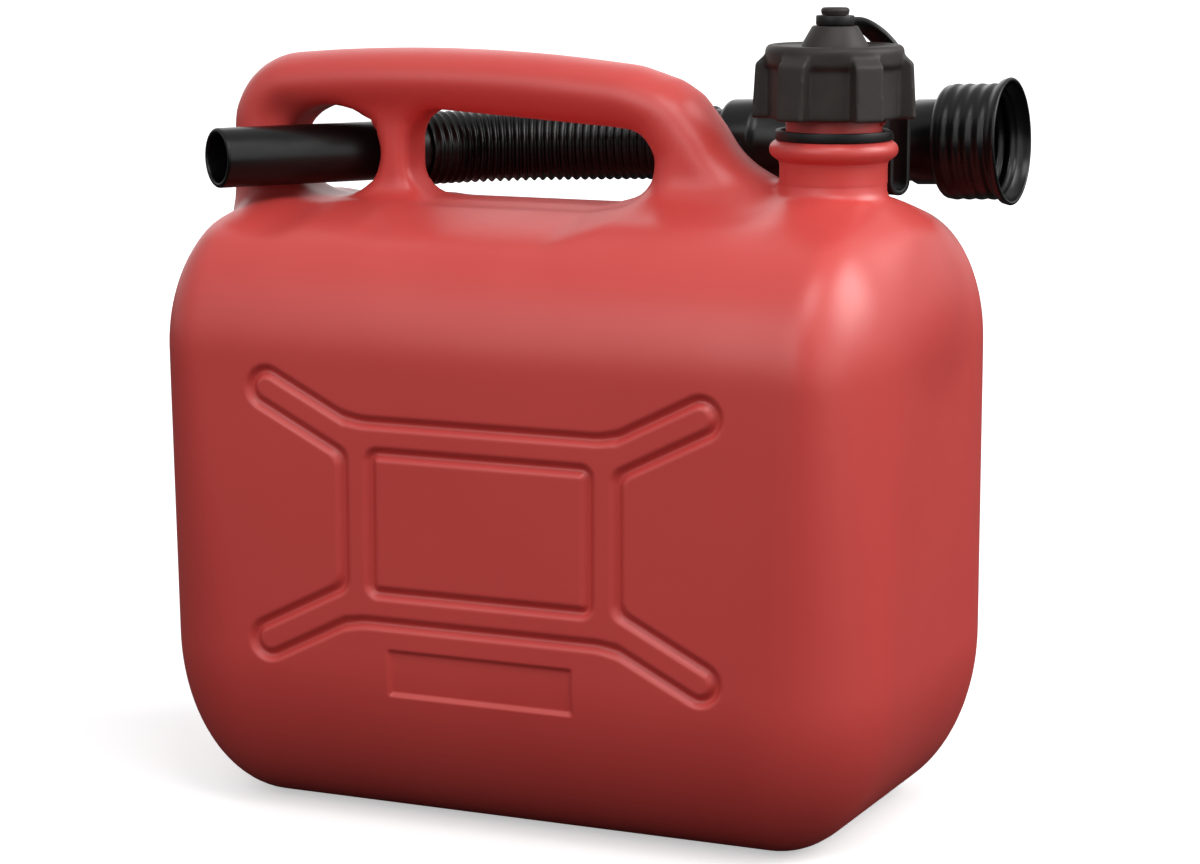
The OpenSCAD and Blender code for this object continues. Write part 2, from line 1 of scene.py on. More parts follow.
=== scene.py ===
"""Looks of a five litre petrol can: red moulded tank, tethered screw cap and stored pouring spout."""

from __future__ import annotations

import json
import logging
import math
from collections.abc import Callable, Sequence
from dataclasses import dataclass, field
from enum import Enum
from functools import cache

import bmesh
import bpy
import numpy as np
from mathutils import Matrix, Vector
from mathutils.bvhtree import BVHTree


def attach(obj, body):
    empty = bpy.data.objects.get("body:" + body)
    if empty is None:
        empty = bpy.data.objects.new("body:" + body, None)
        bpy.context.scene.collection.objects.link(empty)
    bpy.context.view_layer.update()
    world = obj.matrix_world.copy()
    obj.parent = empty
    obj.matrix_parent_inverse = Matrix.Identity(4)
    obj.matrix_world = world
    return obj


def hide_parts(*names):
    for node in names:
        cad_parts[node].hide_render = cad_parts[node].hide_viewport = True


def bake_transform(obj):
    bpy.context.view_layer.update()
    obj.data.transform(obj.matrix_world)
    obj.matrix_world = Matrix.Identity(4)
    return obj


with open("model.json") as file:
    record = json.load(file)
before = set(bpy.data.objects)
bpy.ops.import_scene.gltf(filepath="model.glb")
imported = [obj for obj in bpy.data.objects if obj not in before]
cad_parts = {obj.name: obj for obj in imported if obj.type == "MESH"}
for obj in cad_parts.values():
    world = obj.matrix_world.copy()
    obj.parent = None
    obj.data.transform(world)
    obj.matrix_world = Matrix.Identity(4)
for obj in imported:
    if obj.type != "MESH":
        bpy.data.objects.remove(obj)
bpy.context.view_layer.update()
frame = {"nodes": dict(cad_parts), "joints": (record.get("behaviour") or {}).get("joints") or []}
LOG = logging.getLogger("petrol_can")

MM = 0.001
WHITE = (1.0, 1.0, 1.0, 1.0)
CLOUD_STOPS = (0.35, 0.75)
JOINTS = {joint["name"]: joint for joint in frame["joints"]}
NECK_X = JOINTS["cap_turn"]["pos_m"][0] / MM
BEND_CORNER = Vector(JOINTS["hose_bend"]["pos_m"]) / MM
NOZZLE_WAY = Vector(JOINTS["spout_slide"]["axis"]).normalized()

Mesh = bmesh.types.BMesh
Piece = bpy.types.Object
Tree = bpy.types.NodeTree
Socket = bpy.types.NodeSocket
Pair = tuple[float, float]
Triple = tuple[float, float, float]
# Points, one row each, or a field: a distance in the first column and its gradient in the others
Rows = np.ndarray


class Body(Enum):
    """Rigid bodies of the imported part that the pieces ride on."""

    CAN = "can"
    EYE = "eye"
    CAP = "cap"
    NOZZLE = "nozzle"
    CUFF = "cuff"


class Slot(Enum):
    """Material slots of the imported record."""

    TANK = "red_hdpe"
    CAP = "black_cap"
    TETHER = "black_pe"
    SPOUT = "black_spout"


def linear(hex_colour: str) -> tuple[float, float, float, float]:
    """Turns an sRGB hex colour into linear light.

    Args:
        hex_colour: six hex digits with a leading mark.

    Returns:
        Linear red, green, blue and an alpha of one.
    """
    parts = [int(hex_colour[i : i + 2], 16) / 255 for i in (1, 3, 5)]
    r, g, b = (c / 12.92 if c <= 0.04045 else ((c + 0.055) / 1.055) ** 2.4 for c in parts)
    return r, g, b, 1.0


def bare_tree(owner: bpy.types.Material | bpy.types.World) -> Tree:
    """Empties a node tree.

    Args:
        owner: the material or world that has the tree.

    Returns:
        The tree, without nodes.
    """
    owner.use_nodes = True
    owner.node_tree.nodes.clear()
    return owner.node_tree


def add_node(
    tree: Tree, kind: str, settings: dict | None = None, inputs: dict | None = None, links: dict | None = None
) -> bpy.types.Node:
    """Adds a shader node with its settings and links.

    Args:
        tree: node tree that gets the node.
        kind: Blender's name of the node's type.
        settings: node properties and their values.
        inputs: input sockets, by name or number, and their values.
        links: input sockets, by name or number, and the outputs that feed them.

    Returns:
        The new node.
    """
    node = tree.nodes.new(kind)
    for key, value in (settings or {}).items():
        setattr(node, key, value)
    for key, value in (inputs or {}).items():
        node.inputs[key].default_value = value
    for key, output in (links or {}).items():
        tree.links.new(output, node.inputs[key])
    return node


@dataclass(frozen=True)
class MouldedPlastic:
    """Finish of a moulded plastic: a body colour with soft clouds, uneven gloss and a fine mould grain."""

    name: str
    colour: str
    cloud_colour: str
    roughness: Pair
    cloud_mm: float
    grain_mm: float
    grain_height_mm: float
    ior: float = 1.5
    specular: float = 0.5

    def make(self) -> bpy.types.Material:
        """Builds the node material.

        Returns:
            The finished material.
        """
        material = bpy.data.materials.new(self.name)
        tree = bare_tree(material)
        place = add_node(tree, "ShaderNodeTexCoord").outputs["Object"]
        clouds = add_node(
            tree, "ShaderNodeTexNoise",
            inputs={"Scale": 1 / (self.cloud_mm * MM), "Detail": 3.0, "Roughness": 0.55},
            links={"Vector": place},
        ).outputs["Fac"]
        tone = add_node(tree, "ShaderNodeValToRGB", links={"Fac": clouds})
        colours = (self.colour, self.cloud_colour)
        for stop, position, colour in zip(tone.color_ramp.elements, CLOUD_STOPS, colours):
            stop.position = position
            stop.color = linear(colour)
        smooth, rough = self.roughness
        gloss = add_node(
            tree, "ShaderNodeMapRange",
            inputs={"From Min": 0.3, "From Max": 0.7, "To Min": smooth, "To Max": rough},
            links={"Value": clouds},
        )
        grain = add_node(
            tree, "ShaderNodeTexNoise",
            inputs={"Scale": 1 / (self.grain_mm * MM), "Detail": 2.0}, links={"Vector": place},
        )
        bump = add_node(
            tree, "ShaderNodeBump",
            inputs={"Strength": 0.5, "Distance": self.grain_height_mm * MM},
            links={"Height": grain.outputs["Fac"]},
        )
        shader = add_node(
            tree, "ShaderNodeBsdfPrincipled",
            inputs={"IOR": self.ior, "Specular IOR Level": self.specular},
            links={
                "Base Color": tone.outputs["Color"],
                "Roughness": gloss.outputs["Result"],
                "Normal": bump.outputs["Normal"],
            },
        )
        add_node(tree, "ShaderNodeOutputMaterial", links={"Surface": shader.outputs["BSDF"]})
        return material


# Blow-moulded HDPE: satin red skin with soft tone clouds; the mould's blasted grain is drawn coarse to show
RED_HDPE = MouldedPlastic(
    "red_blow_moulded_hdpe", "#CE4843", "#C8413D", (0.36, 0.44), 60.0, 0.9, 0.02, 1.52
)
# Injection-moulded PE of the cap: dull grey-black with a dusty bloom
CAP_PE = MouldedPlastic(
    "dull_moulded_cap_pe", "#26221F", "#302B28", (0.48, 0.6), 9.0, 0.7, 0.03, specular=0.3
)
# Injection-moulded PE of the tether: plain satin black
TETHER_PE = MouldedPlastic(
    "satin_tether_pe", "#0C0C0C", "#111110", (0.42, 0.5), 8.0, 0.7, 0.02, specular=0.3
)
# Blow-moulded LDPE of the spout: deep black with a waxy gloss
SPOUT_PE = MouldedPlastic(
    "waxy_spout_pe", "#060606", "#0A0A0A", (0.26, 0.34), 14.0, 0.8, 0.015, specular=0.28
)
# Nitrile rubber washers: matt dark grey
SEAL_RUBBER = MouldedPlastic("matt_nitrile_rubber", "#3A3A3B", "#444446", (0.7, 0.8), 5.0, 0.5, 0.02)


@cache
def material_of(finish: MouldedPlastic) -> bpy.types.Material:
    """Returns the material of a finish, made on first use."""
    return finish.make()


def put(name: str, data: bpy.types.ID) -> Piece:
    """Adds an object to the scene.

    Args:
        name: its name.
        data: its mesh, camera or light.

    Returns:
        The new object.
    """
    piece = bpy.data.objects.new(name, data)
    bpy.context.scene.collection.objects.link(piece)
    return piece


def baked(bm: Mesh, name: str) -> bpy.types.Mesh:
    """Turns a working mesh into mesh data.

    Args:
        bm: working mesh; freed.
        name: name of the data.

    Returns:
        The mesh data.
    """
    mesh = bpy.data.meshes.new(name)
    bm.to_mesh(mesh)
    bm.free()
    return mesh


def spun(outline: Sequence[Pair], steps: int, closed: bool = False) -> Mesh:
    """Spins an outline about Z.

    Args:
        outline: radius and height of each corner, in millimetres.
        steps: steps round the full turn.
        closed: whether the outline's end joins its start.

    Returns:
        A mesh in metres, with its faces pointing outwards.
    """
    bm = bmesh.new()
    verts = [bm.verts.new((r * MM, 0, z * MM)) for r, z in outline]
    edges = [bm.edges.new(pair) for pair in zip(verts, verts[1:])]
    if closed:
        edges.append(bm.edges.new((verts[-1], verts[0])))
    bmesh.ops.spin(bm, geom=verts + edges, axis=(0, 0, 1), angle=math.tau, steps=steps, use_merge=True)
    bmesh.ops.remove_doubles(bm, verts=bm.verts, dist=1e-7)
    bmesh.ops.recalc_face_normals(bm, faces=bm.faces)
    return bm


def block(middle: Sequence[float], size: Sequence[float]) -> Mesh:
    """Makes a box.

    Args:
        middle: its middle.
        size: its three side lengths, in the same unit.

    Returns:
        The box.
    """
    bm = bmesh.new()
    bmesh.ops.create_cube(bm, size=1, matrix=Matrix.Translation(middle) @ Matrix.Diagonal((*size, 1)))
    return bm


def add_ball(bm: Mesh, centre: Sequence[float], radii: Sequence[float], faces: tuple[int, int]) -> None:
    """Adds an ellipsoid with so many faces round it and from pole to pole."""
    place = Matrix.Translation(centre) @ Matrix.Diagonal((*radii, 1))
    bmesh.ops.create_uvsphere(bm, u_segments=faces[0], v_segments=faces[1], radius=1, matrix=place)


def stretched_over(balls: Sequence[tuple[Triple, Triple]], faces: tuple[int, int]) -> Mesh:
    """Stretches a skin over ellipsoids.

    Args:
        balls: centre and half sizes of each.
        faces: faces round each ellipsoid and from pole to pole.

    Returns:
        The convex skin.
    """
    bm = bmesh.new()
    for centre, radii in balls:
        add_ball(bm, centre, radii, faces)
    hull = bmesh.ops.convex_hull(bm, input=bm.verts)
    spare = [e for e in hull["geom_interior"] if isinstance(e, bmesh.types.BMVert)]
    bmesh.ops.delete(bm, geom=spare, context="VERTS")
    keep = {e for e in hull["geom"] if isinstance(e, bmesh.types.BMFace)}
    bmesh.ops.delete(bm, geom=[f for f in bm.faces if f not in keep], context="FACES_ONLY")
    bmesh.ops.recalc_face_normals(bm, faces=bm.faces)
    return bm


def arc(centre: Pair, radius: float, start: float, end: float, steps: int) -> list[Pair]:
    """Lists points on an arc.

    Args:
        centre: the arc's centre.
        radius: its radius.
        start: first angle in degrees.
        end: last angle in degrees.
        steps: number of steps from first to last.

    Returns:
        Points from start to end.
    """
    angles = np.radians(np.linspace(start, end, steps + 1))
    return [(centre[0] + radius * math.cos(a), centre[1] + radius * math.sin(a)) for a in angles]


def eased(t: np.ndarray) -> np.ndarray:
    """Returns shares that start and end softly, from shares cut off at zero and one."""
    t = np.clip(t, 0, 1)
    return t * t * (3 - 2 * t)


def in_metres(bm: Mesh) -> Mesh:
    """Returns a mesh, brought from millimetres to metres."""
    bmesh.ops.scale(bm, vec=(MM, MM, MM), verts=bm.verts)
    return bm


def on_neck(bm: Mesh) -> Mesh:
    """Returns a mesh in metres, moved from the origin to the neck's axis."""
    bmesh.ops.translate(bm, vec=(NECK_X * MM, 0, 0), verts=bm.verts)
    return bm


def turned(bm: Mesh, angle: float) -> Mesh:
    """Returns a mesh, turned about Z by an angle in degrees."""
    bmesh.ops.rotate(bm, matrix=Matrix.Rotation(math.radians(angle), 3, "Z"), verts=bm.verts)
    return bm


def bevel(bm: Mesh, edges: list[bmesh.types.BMEdge], width: float, segments: int) -> None:
    """Bevels edges by a width in the mesh's unit."""
    bmesh.ops.bevel(
        bm, geom=edges, offset=width, segments=segments, profile=0.5, affect="EDGES", material=-1
    )


def soften_edges(bm: Mesh, width_mm: float) -> None:
    """Bevels every edge that is sharper than the least angle.

    Args:
        bm: mesh to change.
        width_mm: bevel width.
    """
    least = math.radians(30)
    sharp = [e for e in bm.edges if len(e.link_faces) == 2 and e.calc_face_angle() > least]
    bevel(bm, sharp, width_mm * MM, segments=2)


def join(bm: Mesh, other: Mesh) -> None:
    """Adds another mesh's shells to a mesh.

    Args:
        bm: mesh that gets the shells.
        other: mesh that has them; freed.
    """
    spare = baked(other, "spare")
    bm.from_mesh(spare)
    bpy.data.meshes.remove(spare)


def voxel_union(bm: Mesh, voxel_mm: float) -> Mesh:
    """Fuses overlapping shells into one even skin.

    Args:
        bm: closed shells; freed.
        voxel_mm: size of the skin's faces.

    Returns:
        The fused skin.
    """
    mesh = baked(bm, "rough")
    rough = put("rough", mesh)
    fuse = rough.modifiers.new("fuse", "REMESH")
    fuse.mode = "VOXEL"
    fuse.voxel_size = voxel_mm * MM
    fused = bpy.data.meshes.new_from_object(rough.evaluated_get(bpy.context.evaluated_depsgraph_get()))
    out = bmesh.new()
    out.from_mesh(fused)
    bpy.data.objects.remove(rough)
    bpy.data.meshes.remove(mesh)
    bpy.data.meshes.remove(fused)
    return out


def relax(bm: Mesh, rounds: int, factor: float = 0.5) -> None:
    """Evens out a skin by moving each vertex towards its neighbours."""
    for _ in range(rounds):
        bmesh.ops.smooth_vert(
            bm, verts=bm.verts, factor=factor, use_axis_x=True, use_axis_y=True, use_axis_z=True
        )


@dataclass
class Run:
    """A centre line that a straight piece is bent along, in millimetres."""

    points: Rows
    normals: Rows

    def stations(self) -> np.ndarray:
        """Returns each point's distance along the line."""
        steps = np.linalg.norm(np.diff(self.points, axis=0), axis=1)
        return np.concatenate([[0.0], np.cumsum(steps)])

    def length(self) -> float:
        """Returns the line's length."""
        return float(self.stations()[-1])

    def lay(self, bm: Mesh) -> None:
        """Bends a mesh that stands on Z along the line.

        Args:
            bm: mesh in metres; its height is the distance along the line, its Y lies along the normals.
        """
        runs = self.stations()
        tables = (self.points, np.gradient(self.points, runs, axis=0), self.normals)
        for vert in bm.verts:
            s = vert.co.z / MM
            at, way, normal = (
                Vector([float(np.interp(s, runs, table[:, k])) for k in range(3)]) for table in tables
            )
            way.normalize()
            up = (normal - way * normal.dot(way)).normalized()
            vert.co = at * MM + up.cross(way) * vert.co.x + up * vert.co.y
        bmesh.ops.recalc_face_normals(bm, faces=bm.faces)


def finished(bm: Mesh, name: str, finish: MouldedPlastic, sharp_angle: float = 38.0) -> Piece:
    """Turns a mesh into a dressed object at the origin.

    Args:
        bm: mesh in metres, in the part's frame; freed.
        name: the piece's name.
        finish: its finish.
        sharp_angle: angle in degrees above which an edge stays sharp.

    Returns:
        The new object.
    """
    mesh = baked(bm, name)
    mesh.polygons.foreach_set("use_smooth", [True] * len(mesh.polygons))
    mesh.set_sharp_from_angle(angle=math.radians(sharp_angle))
    mesh.materials.append(material_of(finish))
    piece = put(name, mesh)
    LOG.info("%s: %d faces", name, len(mesh.polygons))
    return piece


def smooth_least(a: Rows, b: Rows, fillet: float) -> Rows:
    """Joins two distance fields with a fillet.

    Args:
        a: distances, with or without their gradients.
        b: the same of the other field.
        fillet: size of the fillet in millimetres.

    Returns:
        The joined field.
    """
    da, db = a[:, 0], b[:, 0]
    h = np.clip(fillet - np.abs(da - db), 0, None) / fillet
    share = np.where(da < db, 1 - h / 2, h / 2)[:, None]
    joined = share * a + (1 - share) * b
    joined[:, 0] = np.minimum(da, db) - h * h * fillet / 4
    return joined


def with_gradient(field_of: Callable[[Rows], np.ndarray], p: Rows) -> Rows:
    """Measures a distance field and its gradient.

    Args:
        field_of: distance of each point, in millimetres.
        p: points.

    Returns:
        Distances and gradients.
    """
    step = 0.05
    slopes = [(field_of(p + step * axis) - field_of(p - step * axis)) / (2 * step) for axis in np.eye(3)]
    return np.stack([field_of(p), *slopes], 1)


def to_segment(q: Rows, a: np.ndarray, b: np.ndarray) -> np.ndarray:
    """Measures the distance from a segment.

    Args:
        q: points in the segment's plane.
        a: one end.
        b: the other end.

    Returns:
        Distances.
    """
    way = b - a
    t = np.clip((q - a) @ way / (way @ way), 0, 1)
    return np.linalg.norm(q - a - t[:, None] * way, axis=1)


def to_polygon(q: Rows, corners: Rows) -> np.ndarray:
    """Measures the distance from a flat convex polygon.

    Args:
        q: points in the polygon's plane.
        corners: its corners in order, either way round.

    Returns:
        Distances, zero inside.
    """
    ahead = np.roll(corners, -1, axis=0)
    edges = ahead - corners
    turns = np.stack([e[0] * (q[:, 1] - c[1]) - e[1] * (q[:, 0] - c[0]) for e, c in zip(edges, corners)])
    inside = np.all(turns >= 0, 0) | np.all(turns <= 0, 0)
    outside = np.min([to_segment(q, a, b) for a, b in zip(corners, ahead)], axis=0)
    return np.where(inside, 0, outside)


def to_box(q: Rows, half: Sequence[float]) -> np.ndarray:
    """Returns the signed distance of points in a plane from a rectangle about the origin."""
    d = np.abs(q) - np.array(half)
    return np.linalg.norm(np.maximum(d, 0), axis=1) + np.minimum(d.max(1), 0)


def to_ellipsoid(q: Rows, radii: Sequence[float]) -> np.ndarray:
    """Returns about how far points lie from an ellipse or ellipsoid about the origin."""
    near, slope = (np.linalg.norm(q / np.array(radii) ** power, axis=1) for power in (1, 2))
    return near * (near - 1) / np.maximum(slope, 1e-9)


@dataclass
class RibPattern:
    """Pressed frame with four arms, inner panel and bare label field on a side face, in millimetres."""

    height: float = 99.0
    frame_half: Pair = (46.5, 31.5)
    panel_half: Pair = (36.9, 21.9)
    arm_root: Pair = (37.0, 22.0)
    arm_tip: Pair = (73.25, 40.1)
    arm_half: float = 5.2
    frame_round: float = 2.5
    arm_fillet: float = 3.0
    label_half: Pair = (31.0, 7.0)
    label_drop: float = 47.0
    label_edge: float = 1.0
    groove_half: float = 2.5
    groove_depth: float = 1.9
    label_depth: float = 1.1

    def fields(self, x: np.ndarray, z: np.ndarray) -> tuple[np.ndarray, np.ndarray, np.ndarray]:
        """Measures the pattern's outlines.

        Args:
            x: places along the face.
            z: heights above the base.

        Returns:
            Signed distances from the framed arms, the inner panel and the label field.
        """
        q = np.stack([np.abs(x), np.abs(z - self.height)], 1)
        r = self.frame_round
        arm = to_segment(q, np.array(self.arm_root), np.array(self.arm_tip)) - self.arm_half
        edge, panel = (to_box(q, np.array(half) - r) - r for half in (self.frame_half, self.panel_half))
        framed = smooth_least(arm[:, None], edge[:, None], self.arm_fillet)[:, 0]
        label = to_box(np.stack([x, z - self.height + self.label_drop], 1), self.label_half)
        return framed, panel, label

    def nearness(self, x: np.ndarray, z: np.ndarray) -> np.ndarray:
        """Returns the distance from the nearest pressed line."""
        return np.min(np.abs(np.stack(self.fields(x, z))), axis=0)

    def depth(self, x: np.ndarray, z: np.ndarray) -> np.ndarray:
        """Measures how deep the face is pressed in.

        Args:
            x: places along the face.
            z: heights above the base.

        Returns:
            Depths in millimetres.
        """
        framed, panel, label = self.fields(x, z)
        lines = np.minimum(np.abs(framed), np.abs(panel))
        groove = np.cos(np.clip(lines / self.groove_half, 0, 1) * math.pi) * 0.5 + 0.5
        return self.groove_depth * groove + self.label_depth * eased(0.5 - label / self.label_edge)


@dataclass
class TankShell:
    """Red moulded tank with its handle and neck foot, in millimetres."""

    half_length: float = 122.5
    half_width: float = 74.0
    ridge_height: float = 195.0
    shoulder_start: float = 149.0
    shoulder_radius: float = 43.5
    corner_radius: float = 23.0
    base_radius: float = 37.0
    base_rise: float = 55.0
    ridge_half_width: float = 24.0
    ridge_flat: float = 9.0
    ridge_fall: float = 0.6
    ridge_inset: float = 7.0
    pad_radii: Triple = (32.3, 43.8, 34.0)
    pad_rise: float = 4.5
    pad_fillet: float = 14.0
    neck_radius: float = 16.6
    neck_top: float = 209.0
    neck_fillet: float = 2.5
    grip_half: float = 10.0
    grip_crown: float = 5.0
    crown_shift: float = 11.0
    handle_half: float = 15.0
    handle_fillet: float = 7.0
    column_root: float = 25.0
    column_bend: float = 14.0
    column_flare: float = 2.5
    # Right leg from the finger gap's end and the ridge: outer line from the grip down, then its inner side
    leg_line: tuple[Pair, ...] = (
        (1.0, 29.3), (5.6, 26.5), (11.9, 18.6), (16.7, 11.2), (23.9, 4.7), (31.6, 0.6)
    )
    leg_back: tuple[Pair, ...] = ((10.0, 17.0), (8.0, 3.0), (2.0, -7.0), (16.0, -7.0))
    foot_flare: float = 16.0
    flare_rise: float = 10.0
    flare_drop: float = 18.0
    post_half: Pair = (4.9, 10.0)
    post_root: float = 18.0
    # Web's corners from the ridge, at the left from the column and at the right from the finger gap's end
    web_left: tuple[Pair, ...] = ((0.0, -20.0), (0.0, 23.0), (14.0, 33.0))
    web_right: tuple[Pair, ...] = ((-6.0, 31.0), (12.0, 17.0), (28.0, -20.0))
    web_half: float = 9.0
    web_round: float = 3.0
    web_fillet: float = 6.0
    hole_length: float = 34.6
    hole_rise: float = 12.4
    hole_half_height: float = 15.0
    gap_length: float = 87.6
    gap_height: float = 26.5
    gap_floor: float = 193.4
    gap_floor_half: float = 20.5
    gap_draft: float = 0.2
    gap_round: float = 11.0
    gap_lap: float = 0.5
    gap_lean: float = 4.0
    gap_toe: tuple[Pair, ...] = ((-8.0, 0.0), (0.5, 2.4))
    cut_round: float = 3.5
    face_depth: float = 3.0
    groove_cuts: int = 3
    voxel: float = 2.4
    least_slope: float = 0.2
    form_faces: tuple[int, int] = (96, 48)
    rough_faces: tuple[int, int] = (48, 24)
    bead_faces: tuple[int, int] = (24, 16)
    pad_faces: tuple[int, int] = (48, 32)
    neck_faces: int = 64
    pattern: RibPattern = field(default_factory=RibPattern)

    def balls(self) -> list[tuple[Triple, Triple]]:
        """Lists the ellipsoids that the tank is stretched over.

        Returns:
            Centre and half sizes of each.
        """
        long, wide, base = self.half_length, self.half_width, self.base_radius
        corner, shoulder = self.corner_radius, self.shoulder_radius
        side = self.ridge_half_width - self.ridge_flat
        drop = side * self.ridge_fall
        ridge_x = long - self.ridge_inset - corner
        kinds = (
            ((long - base, wide - base, self.base_rise), (base, base, self.base_rise)),
            ((long - corner, wide - shoulder, self.shoulder_start), (corner, shoulder, shoulder)),
            ((ridge_x, self.ridge_flat, self.ridge_height - drop), (corner, side, drop)),
        )
        ways = [(sx, sy) for sx in (-1, 1) for sy in (-1, 1)]
        return [((sx * x, sy * y, z), radii) for sx, sy in ways for (x, y, z), radii in kinds]

    def column_x(self) -> float:
        """Returns the place of the left column's centre line."""
        return self.grip_half - self.half_length

    def post_x(self) -> float:
        """Returns the place of the post's centre line."""
        return self.column_x() + self.grip_half + self.hole_length + self.post_half[0]

    def gap_end(self) -> float:
        """Returns the place where the finger gap ends at the right leg."""
        return self.post_x() + self.post_half[0] + self.gap_length

    def pad_centre(self) -> Triple:
        """Returns the centre of the domed pad under the neck."""
        return NECK_X, 0, self.ridge_height + self.pad_rise - self.pad_radii[2]

    def from_ridge(self, x: float, corners: Sequence[Pair]) -> list[np.ndarray]:
        """Returns corners that are given from a place on the ridge."""
        return [np.array([x + along, self.ridge_height + up]) for along, up in corners]

    def grip_line(self, x: float) -> float:
        """Works out the grip's centre line.

        Args:
            x: place along the can.

        Returns:
            The line's height there.
        """
        left, right = self.column_x(), self.gap_end() + self.grip_half
        off = (x - (left + right) / 2 + self.crown_shift) / ((right - left) / 2)
        return self.ridge_height + self.gap_height + self.grip_half - self.grip_crown * off * off

    def handle_lines(self) -> tuple[list[np.ndarray], list[np.ndarray], list[Rows]]:
        """Works out the handle's centre lines in the XZ plane.

        Returns:
            The arch's points, the post's two ends, and the right leg's patches.
        """
        bend, left, end = self.column_bend, self.column_x(), self.gap_end()
        arch = self.from_ridge(left, [(0.0, -self.column_root)])
        corner = (left + bend, self.grip_line(left + bend) - bend)
        arch += [np.array(p) for p in arc(corner, bend, 180, 90, 12)]
        grip = np.linspace(left + bend, end - self.grip_half, 25)[1:]
        arch += [np.array([x, self.grip_line(x)]) for x in grip]
        outer = leg = self.from_ridge(end, self.leg_line)
        # Two rounds of corner cutting smooth the leg's line
        for _ in range(2):
            pairs = list(zip([arch[-1], *leg], leg))
            leg = [a * (1 - t) + b * t for a, b in pairs for t in (0.25, 0.75)] + [leg[-1]]
        inner = [outer[0], *self.from_ridge(end, self.leg_back)]
        quads = zip(inner, outer[1:], outer[2:], inner[1:])
        post = self.from_ridge(self.post_x(), [(0.0, -self.post_root), (0.0, self.gap_height)])
        return arch + leg, post, [np.array(quad) for quad in quads]

    def handle_field(self, p: Rows) -> np.ndarray:
        """Measures the distance from the arch and its right leg.

        Args:
            p: points.

        Returns:
            Distances.
        """
        arch, _, patches = self.handle_lines()
        sunk = np.clip((self.ridge_height + self.flare_rise - p[:, 2]) / self.flare_drop, 0, 1)
        flare = np.where(p[:, 0] > self.post_x(), self.foot_flare, self.column_flare)
        flat = p[:, 1] * self.grip_half / (self.handle_half + flare * sunk * sunk)
        q = p[:, [0, 2]]
        links = [to_segment(q, a, b) for a, b in zip(arch, arch[1:])]
        near = np.min(links + [to_polygon(q, patch) for patch in patches], axis=0)
        return np.hypot(near, flat) - self.grip_half

    def web_field(self, p: Rows) -> np.ndarray:
        """Measures the distance from the web under the grip, out of which the openings are cut.

        Args:
            p: points.

        Returns:
            Distances, before the openings are cut.
        """
        corners = self.from_ridge(self.column_x(), self.web_left)
        corners += self.from_ridge(self.gap_end(), self.web_right)
        across = to_polygon(p[:, [0, 2]], np.array(corners)) - self.web_round
        return np.maximum(np.abs(p[:, 1]) - self.web_half, across)

    def floored(self, p: Rows) -> Rows:
        """Returns points laid into the web's plane, where what is cut falls away outwards."""
        drop = self.gap_draft * np.clip(np.abs(p[:, 1]) - self.gap_floor_half, 0, None)
        return np.stack([p[:, 0], p[:, 2] + drop], 1)

    def gap_core(self, left: float) -> Rows:
        """Works out the corners inside the finger gap's round ends.

        Args:
            left: place of the left corners.

        Returns:
            Corners in the plane of the web.
        """
        right, low = self.gap_end() - self.gap_round, self.gap_floor + self.gap_round
        roof = self.grip_half + self.gap_round - self.gap_lap
        floor = [(left, low)] + [(right + x, low + z) for x, z in self.gap_toe]
        top = [(right - self.gap_lean, self.grip_line(right) - roof), (left, self.grip_line(left) - roof)]
        return np.array(floor + top)

    def shelf_field(self, p: Rows) -> np.ndarray:
        """Measures the distance from the shelf that is cut along the top, on which the web stands."""
        return to_polygon(self.floored(p), self.gap_core(-self.half_length)) - self.gap_round

    def openings_field(self, p: Rows) -> np.ndarray:
        """Measures the distance from the two openings that are cut through the web.

        Args:
            p: points.

        Returns:
            Distances, less than zero inside the finger gap or the nozzle's hole.
        """
        q = self.floored(p)
        core = self.gap_core(self.post_x() + self.post_half[0] + self.gap_round)
        half = (self.hole_length / 2, self.hole_half_height)
        middle = (self.column_x() + self.grip_half + half[0], self.ridge_height + self.hole_rise)
        return np.minimum(to_polygon(q, core) - self.gap_round, to_ellipsoid(q - np.array(middle), half))

    def pad_field(self, p: Rows) -> np.ndarray:
        """Measures the distance from the domed pad under the neck."""
        return to_ellipsoid(p - np.array(self.pad_centre()), self.pad_radii)

    def neck_field(self, p: Rows) -> np.ndarray:
        """Measures the distance from the foot of the neck."""
        round_part = np.hypot(p[:, 0] - NECK_X, p[:, 1]) - self.neck_radius
        return np.maximum(round_part, np.maximum(p[:, 2] - self.neck_top, self.ridge_height / 2 - p[:, 2]))

    def moulding(self, tree: BVHTree, p: Rows) -> Rows:
        """Measures the distance from the whole moulding, with its fillets.

        Args:
            tree: search tree of the stretched tank.
            p: points.

        Returns:
            Distances and gradients.
        """
        body = np.empty((len(p), 4))
        for row, point in zip(body, p):
            at, normal, _, _ = tree.find_nearest(point)
            row[0] = (Vector(point) - at).dot(normal)
            row[1:] = normal
        add, cut = 1, -1
        steps = (
            (add, self.pad_field, self.pad_fillet),
            (cut, self.shelf_field, self.cut_round),
            (add, self.handle_field, self.handle_fillet),
            (add, self.web_field, self.web_fillet),
            (cut, self.openings_field, self.cut_round),
            (add, self.neck_field, self.neck_fillet),
        )
        for sign, field_of, fillet in steps:
            body = sign * smooth_least(sign * body, with_gradient(field_of, p), fillet)
        return body

